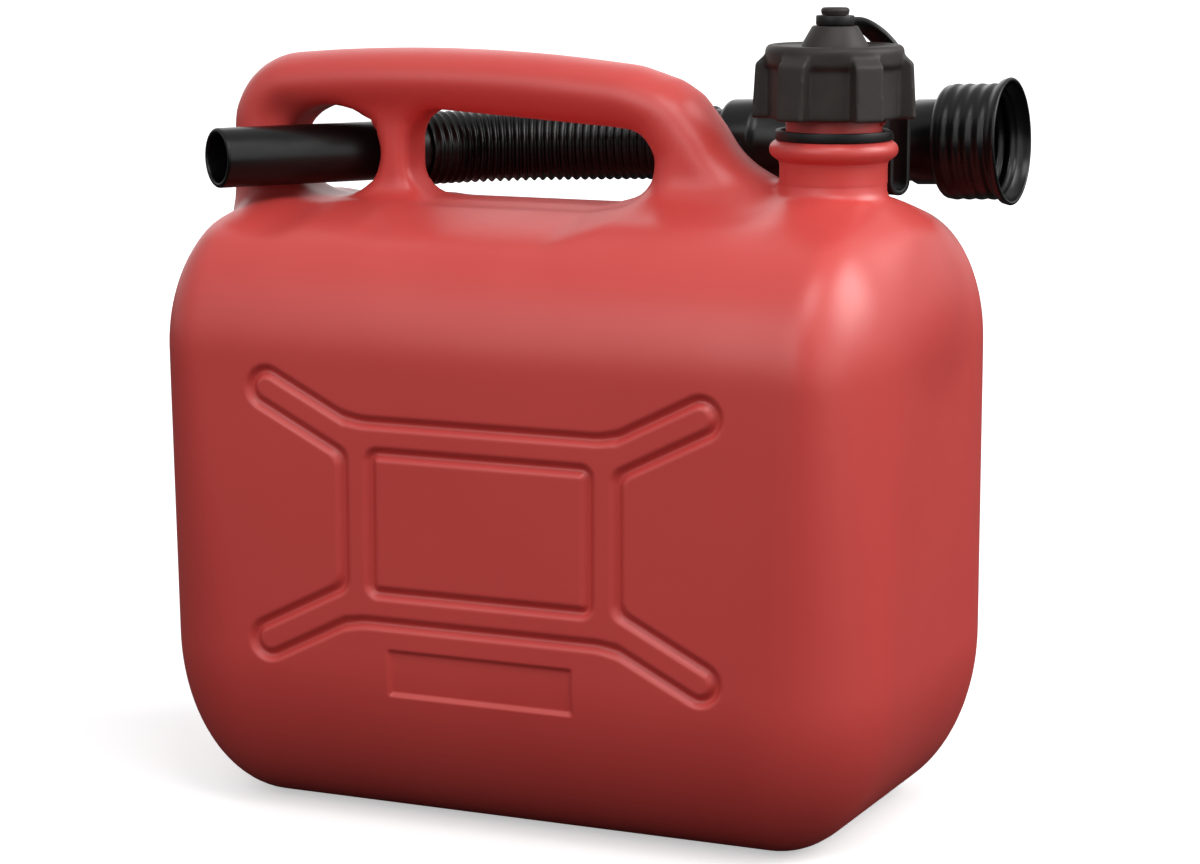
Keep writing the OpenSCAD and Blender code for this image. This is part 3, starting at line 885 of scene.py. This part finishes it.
    def rough(self) -> Mesh:
        """Fuses the tank, handle and neck into one coarse skin.

        Returns:
            The skin in metres.
        """
        bm = stretched_over(self.balls(), self.rough_faces)
        arch, post, patches = self.handle_lines()
        thick, thin = (self.grip_half, self.handle_half, self.grip_half), (*self.post_half, self.post_half[0])
        links = [(beads, thick) for beads in [*zip(arch, arch[1:]), *patches]] + [(post, thin)]
        for beads, radii in links:
            join(bm, stretched_over([((x, 0, z), radii) for x, z in beads], self.bead_faces))
        height = self.neck_top - self.ridge_height / 2
        neck = bmesh.new()
        bmesh.ops.create_cone(
            neck, cap_ends=True, segments=self.neck_faces, radius1=self.neck_radius, radius2=self.neck_radius,
            depth=height, matrix=Matrix.Translation((NECK_X, 0, self.neck_top - height / 2)),
        )
        add_ball(neck, self.pad_centre(), self.pad_radii, self.pad_faces)
        join(bm, neck)
        return voxel_union(in_metres(bm), self.voxel)

    def settle(self, bm: Mesh, tree: BVHTree, rounds: int) -> None:
        """Moves a skin's vertices onto the moulding's true surface.

        Args:
            bm: skin in metres.
            tree: search tree of the stretched tank.
            rounds: number of corrections.
        """
        p = np.array([v.co for v in bm.verts]) / MM
        for _ in range(rounds):
            near = self.moulding(tree, p)
            way = near[:, 1:]
            p -= (near[:, 0] / np.maximum((way * way).sum(1), self.least_slope))[:, None] * way
        p[:, 2] = np.maximum(p[:, 2], 0.0)
        for vert, place in zip(bm.verts, p * MM):
            vert.co = place

    def press(self, bm: Mesh) -> None:
        """Presses the rib pattern into both side faces, where the skin is made finer first.

        Args:
            bm: settled skin in metres.
        """
        face_start = self.half_width - self.face_depth
        fine_reach = self.pattern.groove_half + self.voxel
        at = np.array([face.calc_center_median() for face in bm.faces]) / MM
        near = self.pattern.nearness(at[:, 0], at[:, 2])
        lined = (np.abs(at[:, 1]) > face_start) & (near < fine_reach)
        edges = {e for face, is_lined in zip(bm.faces, lined) if is_lined for e in face.edges}
        bmesh.ops.subdivide_edges(bm, edges=list(edges), cuts=self.groove_cuts, use_grid_fill=True)
        p = np.array([v.co for v in bm.verts]) / MM
        on_side = np.abs(p[:, 1]) > face_start
        depth = np.where(on_side, self.pattern.depth(p[:, 0], p[:, 2]), 0)
        for vert, sunk in zip(bm.verts, depth):
            if sunk > 0:
                vert.co.y -= math.copysign(sunk * MM, vert.co.y)

    def build(self) -> None:
        """Builds and dresses the shell."""
        form = stretched_over(self.balls(), self.form_faces)
        tree = BVHTree.FromBMesh(form)
        skin = self.rough()
        self.settle(skin, tree, rounds=5)
        relax(skin, rounds=2)
        self.settle(skin, tree, rounds=3)
        relax(skin, rounds=1, factor=0.35)
        form.free()
        self.press(skin)
        shell = finished(skin, "tank_shell", RED_HDPE, sharp_angle=70.0)
        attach(shell, Body.CAN.value)
        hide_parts("can_body")


@dataclass
class NeckFinish:
    """Neck tube with its bead, rim and thread, in millimetres."""

    foot: float = 203.0
    radius: float = 16.7
    bead_height: float = 213.3
    bead_section: float = 2.9
    bead_radius: float = 19.9
    bead_arc: Pair = (-65.0, 88.0)
    bead_foot: tuple[Pair, ...] = ((0.0, -5.0), (0.25, -3.6))
    bead_top: tuple[Pair, ...] = ((0.6, 2.95), (0.0, 3.6))
    core_radius: float = 14.9
    bore_radius: float = 12.6
    rim: float = 235.0
    rim_rounds: Pair = (0.8, 0.6)
    thread_radius: float = 16.0
    thread_root: float = 14.5
    thread_halves: Pair = (0.95, 0.45)
    thread_start: float = 221.5
    lead: float = 4.0
    turns: float = 2.5
    steps_per_turn: int = 48

    def thread(self) -> Mesh:
        """Winds the thread's ridge round the neck.

        Returns:
            The ridge, closed at both ends.
        """
        root, crest = self.thread_halves
        corners = [(self.thread_root, -root), (self.thread_radius, -crest)]
        corners += [(self.thread_radius, crest), (self.thread_root, root)]
        bm = bmesh.new()
        verts = [bm.verts.new((r * MM, 0, (self.thread_start + h) * MM)) for r, h in corners]
        bmesh.ops.spin(
            bm, geom=[bm.faces.new(verts)], axis=(0, 0, 1), angle=math.tau * self.turns,
            steps=int(self.turns * self.steps_per_turn), dvec=(0, 0, self.lead / self.steps_per_turn * MM),
        )
        bmesh.ops.recalc_face_normals(bm, faces=bm.faces)
        return bm

    def build(self) -> None:
        """Builds and dresses the neck."""
        z, (outer, inner) = self.bead_height, self.rim_rounds
        outline = [(self.bore_radius, self.foot), (self.radius, self.foot)]
        outline += [(self.radius + r, z + h) for r, h in self.bead_foot]
        outline += arc((self.bead_radius - self.bead_section, z), self.bead_section, *self.bead_arc, 16)
        outline += [(self.core_radius + r, z + h) for r, h in self.bead_top]
        outline += arc((self.core_radius - outer, self.rim - outer), outer, 0, 90, 5)
        outline += arc((self.bore_radius + inner, self.rim - inner), inner, 90, 180, 4)
        bm = spun(outline, steps=96, closed=True)
        join(bm, self.thread())
        neck = finished(on_neck(bm), "neck_finish", RED_HDPE)
        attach(neck, Body.CAN.value)


@dataclass
class ScrewCap:
    """Lugged closure with its boss and button, in millimetres."""

    bottom: float = 222.9
    skirt_radius: float = 20.4
    bore_radius: float = 16.4
    roof: float = 239.9
    disc_radius: float = 21.4
    disc_top: float = 245.5
    disc_round: float = 2.0
    disc_foot: Pair = (1.5, 0.5)
    recess_rim: float = 4.0
    recess_depth: float = 0.6
    lug_radius: float = 25.1
    lug_height: float = 20.0
    lug_half: float = 4.7
    lug_root: float = 2.5
    lug_draft: float = 1.2
    lug_chamfer: float = 3.2
    lug_count: int = 6
    lug_phase: float = 16.6
    boss_radius: float = 10.2
    boss_root: Pair = (0.5, 2.0)
    boss_top: float = 251.1
    boss_crown: tuple[Pair, ...] = ((2.8, -0.4), (2.4, 0.0))
    stem_radius: float = 3.2
    button_foot: float = 254.5
    button_radius: float = 4.4
    button_height: float = 2.2
    button_round: float = 1.0
    button_chamfer: float = 0.3
    button_dome: Pair = (2.4, 0.1)
    voxel: float = 0.55

    def lug(self, direction: float) -> Mesh:
        """Shapes one lug with its draft and chamfered top.

        Args:
            direction: where it points from the neck's axis, in degrees.

        Returns:
            The lug in metres.
        """
        root = self.skirt_radius - self.lug_root
        middle = ((self.lug_radius + root) / 2, 0, self.bottom + self.lug_height / 2)
        bm = block(middle, (self.lug_radius - root, 2 * self.lug_half, self.lug_height))
        top_outer = [v for v in bm.verts if v.co.z > middle[2] and v.co.x > middle[0]]
        bmesh.ops.translate(bm, vec=(-self.lug_draft, 0, 0), verts=top_outer)
        crown = [e for e in bm.edges if all(v in top_outer for v in e.verts)]
        bevel(bm, crown, self.lug_chamfer, segments=1)
        return in_metres(turned(bm, direction))

    def skirt(self) -> Mesh:
        """Fuses skirt, disc and lugs into one moulding.

        Returns:
            The moulding in metres.
        """
        rim, recess = self.disc_round, self.disc_top - self.recess_depth
        outline = [(0, self.roof), (self.bore_radius, self.roof), (self.bore_radius, self.bottom)]
        outline += [(self.skirt_radius, self.bottom), (self.skirt_radius, self.roof - self.disc_foot[0])]
        outline += [(self.disc_radius, self.roof - self.disc_foot[1])]
        outline += arc((self.disc_radius - rim, self.disc_top - rim), rim, 0, 90, 8)
        outline += [(self.disc_radius - self.recess_rim, recess), (0, recess)]
        bm = spun(outline, steps=96)
        for i in range(self.lug_count):
            join(bm, self.lug(self.lug_phase + i * 360 / self.lug_count))
        fused = voxel_union(bm, self.voxel)
        relax(fused, rounds=3)
        return fused

    def boss(self) -> Mesh:
        """Spins the boss, stem and button.

        Returns:
            The turned form in metres.
        """
        r, top, edge = self.button_radius, self.button_foot + self.button_height, self.button_round
        spread, sunk = self.boss_root
        outline = [(0, self.disc_top - sunk), (self.boss_radius + spread, self.disc_top - sunk)]
        outline += [(self.boss_radius, self.disc_top)]
        outline += [(r + out, self.boss_top + up) for out, up in self.boss_crown]
        outline += [(self.stem_radius, self.boss_top), (self.stem_radius, self.button_foot)]
        outline += [(r - self.button_chamfer, self.button_foot)]
        outline += arc((r - edge, top - edge), edge, -20, 100, 8)
        outline += [(r - self.button_dome[0], top - self.button_dome[1]), (0, top)]
        return spun(outline, steps=64)

    def build(self) -> None:
        """Builds and dresses the cap."""
        bm = self.skirt()
        join(bm, self.boss())
        cap = finished(on_neck(bm), "lugged_cap", CAP_PE, sharp_angle=45.0)
        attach(cap, Body.CAP.value)
        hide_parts("screw_cap")


@dataclass
class Tether:
    """Ring on the neck, eye under the button and the strap between them, in millimetres."""

    ring_foot: float = 216.3
    ring_radii: Pair = (16.4, 18.0)
    ring_direction: float = 66.0
    eye_foot: float = 251.3
    eye_radii: Pair = (3.6, 5.9)
    eye_direction: float = 85.0
    washer_height: float = 3.0
    edge_round: float = 0.35
    tab: float = 1.6
    tab_root: float = 1.5
    tab_round: float = 0.3
    tab_lap: float = 0.4
    strap_width: float = 8.0
    strap_thickness: float = 1.6
    strap_cuts: int = 90
    outer_reach: float = 29.6
    # Reins of the drape over the cap: inset of the upper one from the outer reach, heights of the outer two
    rein_inset: float = 4.0
    rein_heights: Pair = (242.5, 229.5)
    slack_height: float = 198.3
    loop_inset: float = 3.0
    hook_round: float = 2.0
    hook_inset: float = 1.0
    # Points of the line that come before the strap's twist, and those over which it twists
    twist: tuple[int, int] = (2, 20)

    def strap_run(self) -> Run:
        """Works out the strap's centre line from the eye to the ring.

        Returns:
            The line in the part's frame.
        """
        eye_z, ring_z = (foot + self.washer_height / 2 for foot in (self.eye_foot, self.ring_foot))
        start, end = (radii[1] + self.tab - self.tab_lap for radii in (self.eye_radii, self.ring_radii))
        far, hook = self.outer_reach, self.hook_round
        inner = end + self.loop_inset
        loop = (far - inner) / 2
        reins = [(start, eye_z), (far - self.rein_inset, eye_z), *((far, z) for z in self.rein_heights)]
        a, b, c, d = np.array(reins)
        u = np.linspace(0, 1, 25)[:, None]
        drape = (1 - u) ** 3 * a + 3 * u * (1 - u) ** 2 * b + 3 * u * u * (1 - u) * c + u**3 * d
        rest = arc((inner + loop, self.slack_height + loop), loop, 0, -180, 14)
        rest += arc((end + self.hook_inset, ring_z - hook), hook, 0, 90, 8) + [(end, ring_z)]
        line = np.concatenate([drape, np.array(rest)])
        share = eased((np.arange(len(line)) - self.twist[0]) / self.twist[1])
        turn = np.radians(self.eye_direction + (self.ring_direction - self.eye_direction) * share)
        cos, sin = np.cos(turn), np.sin(turn)
        points = np.stack([NECK_X + line[:, 0] * cos, line[:, 0] * sin, line[:, 1]], 1)
        return Run(points, np.stack([-sin, cos, 0 * turn], 1))

    def build_strap(self) -> None:
        """Builds and dresses the strap."""
        run = self.strap_run()
        length = run.length() * MM
        bm = block((0, 0, length / 2), (self.strap_thickness * MM, self.strap_width * MM, length))
        soften_edges(bm, self.edge_round)
        long_edges = [e for e in bm.edges if abs(e.verts[0].co.z - e.verts[1].co.z) > length / 2]
        bmesh.ops.subdivide_edges(bm, edges=long_edges, cuts=self.strap_cuts, use_grid_fill=True)
        run.lay(bm)
        strap = finished(bm, "tether_band", TETHER_PE)
        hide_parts("tether_strap")
        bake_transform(strap)

    def washer(self, radii: Pair, foot: float, direction: float) -> Mesh:
        """Turns a rounded washer with a tab towards the strap.

        Args:
            radii: radius of its hole and its own.
            foot: height of its lower face.
            direction: where its tab points, in degrees from X.

        Returns:
            The washer in metres, on the neck's axis.
        """
        (inner, outer), top = radii, foot + self.washer_height
        bm = spun([(inner, foot), (outer, foot), (outer, top), (inner, top)], steps=72, closed=True)
        soften_edges(bm, self.edge_round)
        middle = (outer + (self.tab - self.tab_root) / 2 - self.tab_lap, 0, foot + self.washer_height / 2)
        size = (self.tab + self.tab_root, self.strap_width, self.strap_thickness)
        tab = block(Vector(middle) * MM, Vector(size) * MM)
        soften_edges(tab, self.tab_round)
        join(bm, turned(tab, direction))
        return on_neck(bm)

    def build(self) -> None:
        """Builds and dresses ring, eye and strap."""
        collar = self.washer(self.ring_radii, self.ring_foot, self.ring_direction)
        ring = finished(collar, "tether_collar", TETHER_PE)
        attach(ring, Body.CAN.value)
        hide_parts("tether_ring")
        loop = self.washer(self.eye_radii, self.eye_foot, self.eye_direction)
        eye = finished(loop, "tether_loop", TETHER_PE)
        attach(eye, Body.EYE.value)
        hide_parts("tether_eye")
        self.build_strap()


@dataclass
class Spout:
    """Nozzle, corrugated hose and threaded cuff, in millimetres."""

    nozzle_radius: float = 9.7
    nozzle_wall: float = 1.7
    nozzle_front: float = 46.0
    nozzle_back: float = 28.0
    nozzle_rounds: Pair = (0.8, 0.6)
    engagement: float = 8.0
    play: float = 0.1
    slope: float = 2.1
    hose_radius: float = 12.2
    hose_root: float = 11.1
    hose_bore: float = 10.1
    hose_end: float = 1.0
    rib_pitch: float = 2.9
    collar_distance: float = 74.0
    collar_radius: float = 14.3
    collar_length: float = 13.6
    collar_round: float = 2.5
    collar_back: float = 3.0
    waist_radius: float = 12.6
    waist_length: float = 51.0
    waist_ease: float = 0.5
    step_radius: float = 13.7
    step_length: float = 9.8
    # Corners of the step, from its radius and its ends
    step_lead: tuple[Pair, ...] = ((-0.4, 0.6), (0.0, 1.4))
    step_back: float = 0.6
    socket_play: float = 0.4
    cuff_length: float = 19.0
    cuff_shoulder: float = 2.6
    cuff_radius: float = 18.6
    cuff_wall: float = 1.3
    cuff_rings: int = 4
    ring_depth: float = 0.34
    thread_depth: float = 0.55
    mouth_radius: float = 20.4
    mouth_length: float = 4.0
    mouth_foot: Pair = (0.3, 0.5)
    mouth_ease: float = 0.4
    lip_setback: float = 0.5
    lip_round: float = 0.6

    def cuff_way(self) -> Vector:
        """Returns the direction of the cuff's axis."""
        slope = math.radians(self.slope)
        return Vector((math.cos(slope), 0, math.sin(slope)))

    def corner_distance(self) -> float:
        """Returns the distance from the handle's middle to the bend's corner."""
        return BEND_CORNER.y / NOZZLE_WAY.y

    def placed(self, bm: Mesh, at: Vector, way: Vector) -> Mesh:
        """Stands a turned piece along a direction.

        Args:
            bm: piece in metres that stands on Z.
            at: its foot, in millimetres.
            way: its direction.

        Returns:
            The same mesh, moved.
        """
        turn = way.to_track_quat("Z", "Y").to_matrix().to_4x4()
        bmesh.ops.transform(bm, matrix=Matrix.Translation(at * MM) @ turn, verts=bm.verts)
        return bm

    def build_nozzle(self) -> None:
        """Builds and dresses the nozzle."""
        length = self.nozzle_front + self.nozzle_back + self.engagement
        outer, inner = self.nozzle_radius, self.nozzle_radius - self.nozzle_wall
        wide, narrow = self.nozzle_rounds
        outline = [(inner, wide), (inner, length), (outer, length)]
        outline += arc((outer - wide, wide), wide, 0, -90, 5)
        outline += arc((inner + narrow, narrow), narrow, -90, -150, 3)
        bm = spun(outline, steps=72, closed=True)
        tip = BEND_CORNER - NOZZLE_WAY * (self.corner_distance() + self.nozzle_front)
        nozzle = finished(self.placed(bm, tip, NOZZLE_WAY), "pouring_nozzle", SPOUT_PE)
        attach(nozzle, Body.NOZZLE.value)
        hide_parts("spout_nozzle")

    def hose_run(self) -> Run:
        """Works out the hose's centre line from the nozzle to inside the collar.

        Returns:
            The line in the part's frame.
        """
        start = self.corner_distance() - self.nozzle_back
        end = self.collar_distance + self.engagement - self.play
        bend_in, bend_out = start - self.engagement - self.hose_end, self.collar_distance - self.hose_radius
        u = np.linspace(0, 1, 49)[:, None]
        corner, a, b = np.array(BEND_CORNER), np.array(NOZZLE_WAY), np.array(self.cuff_way())
        bend = corner - bend_in * (1 - u) ** 2 * a + bend_out * u**2 * b
        lead_in = corner - np.linspace(start, bend_in, 13)[:-1, None] * a
        lead_out = corner + np.linspace(bend_out, end, 25)[1:, None] * b
        line = np.concatenate([lead_in, bend, lead_out])
        return Run(line, np.tile([0.0, 0.0, 1.0], (len(line), 1)))

    def build_hose(self) -> None:
        """Builds and dresses the corrugated hose."""
        run = self.hose_run()
        length, bore, root, pitch = run.length(), self.hose_bore, self.hose_root, self.rib_pitch
        ribs = int((length - self.engagement - pitch) / pitch)
        swing = (self.hose_radius - root) / 2
        waves = np.linspace(0, ribs, ribs * 8 + 1)
        outline = [(bore, 0.0), (root, 0.0)]
        outline += [(root + swing - swing * math.cos(math.tau * w), self.hose_end + w * pitch) for w in waves]
        outline += [(root, length), (bore, length)]
        outline += [(bore, z) for z in np.linspace(length, 0, 60)[1:-1]]
        bm = spun(outline, steps=40, closed=True)
        run.lay(bm)
        hose = finished(bm, "corrugated_hose", SPOUT_PE, sharp_angle=60.0)
        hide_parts("spout_hose")
        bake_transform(hose)

    def cuff_outline(self) -> list[Pair]:
        """Draws the cuff's wall in section.

        Returns:
            Radius and distance from the collar's open face, round the wall.
        """
        step = self.collar_length + self.waist_length
        cuff = step + self.step_length
        mouth, rings = cuff + self.cuff_length, cuff + self.cuff_shoulder
        end, flare = mouth + self.mouth_length, mouth + self.mouth_length / 2 - self.mouth_ease
        edge, tube, ease = self.collar_round, self.step_radius, self.waist_ease
        collar = self.collar_radius - edge
        outline = arc((collar, edge), edge, -80, 0, 6)
        outline += arc((collar, self.collar_length - self.collar_back), edge, 0, 50, 5)
        outline += [(self.waist_radius, self.collar_length + ease), (self.waist_radius, step - ease)]
        outline += [(tube + r, step + z) for r, z in self.step_lead] + [(tube, cuff - self.step_back)]

        root, swing = self.cuff_radius - self.ring_depth, self.ring_depth / 2
        pitch = (mouth - rings) / self.cuff_rings
        shoulder = np.radians(np.linspace(0, 80, 7))
        outline += [
            (tube + (root - tube) * math.sin(t), rings - self.cuff_shoulder * math.cos(t)) for t in shoulder
        ]
        waves = np.linspace(0, self.cuff_rings, self.cuff_rings * 12 + 1)
        outline += [(root + swing - swing * math.cos(math.tau * k), rings + k * pitch) for k in waves]

        (out, up), lip, hem = self.mouth_foot, self.lip_round, self.mouth_ease
        outline += [(root + out, mouth + up), (self.mouth_radius - self.lip_setback, flare)]
        outline += arc((self.mouth_radius - lip, end - lip), lip, 0, 90, 4)
        bore, wall = self.mouth_radius - self.cuff_wall, root - self.cuff_wall
        outline += arc((bore + hem, end - hem), hem, 90, 180, 3)
        outline += [(bore - hem, flare), (wall + out, mouth + up)]
        turns = np.linspace(0, self.cuff_rings - 1, 37)
        depths = self.thread_depth * (1 - np.cos(math.tau * turns))
        outline += [(wall - depth, mouth - k * pitch) for k, depth in zip(turns, depths)]
        outline += [(wall, rings), (self.hose_bore, rings), (self.hose_bore, self.engagement)]
        socket = self.hose_root + self.socket_play
        return outline + [(socket, self.engagement), (socket, 0)]

    def build_cuff(self) -> None:
        """Builds and dresses the threaded cuff."""
        bm = spun(self.cuff_outline(), steps=80, closed=True)
        foot = BEND_CORNER + self.cuff_way() * self.collar_distance
        bm = self.placed(bm, foot, self.cuff_way())
        cuff = finished(bm, "ringed_cuff", SPOUT_PE, sharp_angle=50.0)
        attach(cuff, Body.CUFF.value)
        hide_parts("spout_cuff")

    def build(self) -> None:
        """Builds and dresses the whole spout."""
        self.build_nozzle()
        self.build_hose()
        self.build_cuff()


def dress_seals() -> None:
    """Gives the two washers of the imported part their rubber."""
    for name in ("cap_seal", "cuff_seal"):
        node = frame["nodes"][name]
        node.data.materials.clear()
        node.data.materials.append(material_of(SEAL_RUBBER))
        LOG.info("%s: dressed", name)


def aimed(name: str, data: bpy.types.ID, target: Vector, out: Vector, distance: float) -> Piece:
    """Adds a camera or lamp that faces a point.

    Args:
        name: its name.
        data: its data.
        target: the point.
        out: direction from the point, of length one.
        distance: distance from the point, in metres.

    Returns:
        The new object.
    """
    piece = put(name, data)
    piece.location = target + out * distance
    piece.rotation_mode = "QUATERNION"
    piece.rotation_quaternion = (-out).to_track_quat("-Z", "Y")
    return piece


@dataclass(frozen=True)
class Lamp:
    """Square soft lamp: its direction from the can, its distance and side in metres, and its watts."""

    name: str
    way: Triple
    distance: float
    size: float
    power: float
    only_mirrored: bool = False

    def hang(self, target: Vector) -> None:
        """Hangs the lamp.

        Args:
            target: the point that it faces.
        """
        data = bpy.data.lights.new(self.name, "AREA")
        data.size = self.size
        data.energy = self.power
        lamp = aimed(self.name, data, target, Vector(self.way).normalized(), self.distance)
        lamp.visible_diffuse = not self.only_mirrored


# The card is only mirrored, as the window is on the photo's right shoulder
LAMPS = (
    Lamp("key_softbox", (0.35, -0.4, 0.85), 1.1, 0.5, 4.0),
    Lamp("front_softbox", (-0.1, -0.85, 0.52), 1.3, 0.9, 5.2),
    Lamp("end_softbox", (0.8, 0.26, 0.54), 1.4, 0.9, 11.0),
    Lamp("side_fill", (0.92, -0.25, 0.28), 1.6, 1.2, 4.8),
    Lamp("back_fill", (-0.55, 0.75, 0.37), 1.6, 1.2, 4.0),
    Lamp("window_card", (0.78, 0.28, 0.56), 1.4, 0.6, 5.0, only_mirrored=True),
)


@dataclass
class Studio:
    """Floor, lights and camera, in metres."""

    azimuth: float = 24.32
    elevation: float = 9.62
    lens: float = 99.0
    sensor: float = 36.0
    far_clip: float = 100.0
    distance: float = 1.0653
    target: Triple = (0.00764, 0.0, 0.1193)
    floor_size: float = 40.0
    floor_bounce: str = "#3A3837"
    floor_seen: str = "#F4F4F4"
    room_light: str = "#9E9FA1"
    room_mirrored: str = "#DADADA"

    def camera(self) -> None:
        """Places the camera at the photograph's angle."""
        a, e = math.radians(self.azimuth), math.radians(self.elevation)
        back = Vector((math.sin(a) * math.cos(e), -math.cos(a) * math.cos(e), math.sin(e)))
        data = bpy.data.cameras.new("photo_camera")
        data.lens = self.lens
        data.sensor_width = self.sensor
        data.clip_end = self.far_clip
        bpy.context.scene.camera = aimed("photo_camera", data, Vector(self.target), back, self.distance)

    def seen_ray(self, tree: Tree) -> Socket:
        """Tells rays that see the backdrop from rays that only light the object.

        Args:
            tree: node tree that needs it.

        Returns:
            One for camera and transmitted rays.
        """
        path = add_node(tree, "ShaderNodeLightPath")
        either = add_node(
            tree, "ShaderNodeMath", {"operation": "MAXIMUM"},
            links={0: path.outputs["Is Camera Ray"], 1: path.outputs["Is Transmission Ray"]},
        )
        return either.outputs[0]

    def mixed(self, tree: Tree, share: Socket, low: tuple | Socket, high: tuple) -> Socket:
        """Mixes two colours.

        Args:
            tree: node tree that needs the mix.
            share: zero for the first colour and one for the second.
            low: the first colour, or the output that gives it.
            high: the second colour.

        Returns:
            The mixed colour.
        """
        share_in, low_in, high_in, colour_out = 0, 6, 7, 2
        inputs, links = {high_in: high}, {share_in: share}
        (links if isinstance(low, Socket) else inputs)[low_in] = low
        return add_node(tree, "ShaderNodeMix", {"data_type": "RGBA"}, inputs, links).outputs[colour_out]

    def floor(self) -> None:
        """Lays the pale floor, which looks white and gives back little light."""
        bm = bmesh.new()
        bmesh.ops.create_grid(bm, x_segments=1, y_segments=1, size=self.floor_size / 2)
        floor = put("studio_floor", baked(bm, "studio_floor"))
        material = bpy.data.materials.new("pale_floor_paint")
        tree = bare_tree(material)
        seen = self.seen_ray(tree)
        tone = self.mixed(tree, seen, linear(self.floor_bounce), linear(self.floor_seen))
        place = add_node(tree, "ShaderNodeTexCoord").outputs["Object"]
        away = add_node(tree, "ShaderNodeVectorMath", {"operation": "LENGTH"}, links={0: place})
        fill = add_node(
            tree, "ShaderNodeMapRange",
            inputs={"From Min": 0.35, "From Max": 2.0, "To Min": 0.45, "To Max": 1.0},
            links={"Value": away.outputs["Value"]},
        )
        glow = add_node(
            tree, "ShaderNodeMath", {"operation": "MULTIPLY"}, links={0: seen, 1: fill.outputs["Result"]}
        )
        shader = add_node(
            tree, "ShaderNodeBsdfPrincipled",
            inputs={"Roughness": 0.9, "Emission Color": WHITE, "Specular IOR Level": 0.1},
            links={"Base Color": tone, "Emission Strength": glow.outputs[0]},
        )
        add_node(tree, "ShaderNodeOutputMaterial", links={"Surface": shader.outputs["BSDF"]})
        floor.data.materials.append(material)

    def world(self) -> None:
        """Fills the room with soft light in front of a white backdrop."""
        world = bpy.data.worlds.new("studio_room")
        bpy.context.scene.world = world
        tree = bare_tree(world)
        seen = self.seen_ray(tree)
        mirrored = add_node(tree, "ShaderNodeLightPath").outputs["Is Glossy Ray"]
        room = self.mixed(tree, mirrored, linear(self.room_light), linear(self.room_mirrored))
        tone = self.mixed(tree, seen, room, WHITE)
        sky = add_node(tree, "ShaderNodeBackground", inputs={"Strength": 1.0}, links={"Color": tone})
        add_node(tree, "ShaderNodeOutputWorld", links={"Surface": sky.outputs["Background"]})

    def build(self) -> None:
        """Builds the whole studio."""
        self.camera()
        self.floor()
        self.world()
        for lamp in LAMPS:
            lamp.hang(Vector(self.target))
        bpy.context.scene.view_settings.view_transform = "Standard"


def main() -> None:
    """Builds the studio and every piece, and reports them."""
    logging.basicConfig(level=logging.INFO, format="%(message)s")
    Studio().build()
    TankShell().build()
    NeckFinish().build()
    ScrewCap().build()
    Tether().build()
    Spout().build()
    dress_seals()


if __name__ == "__main__":
    main()
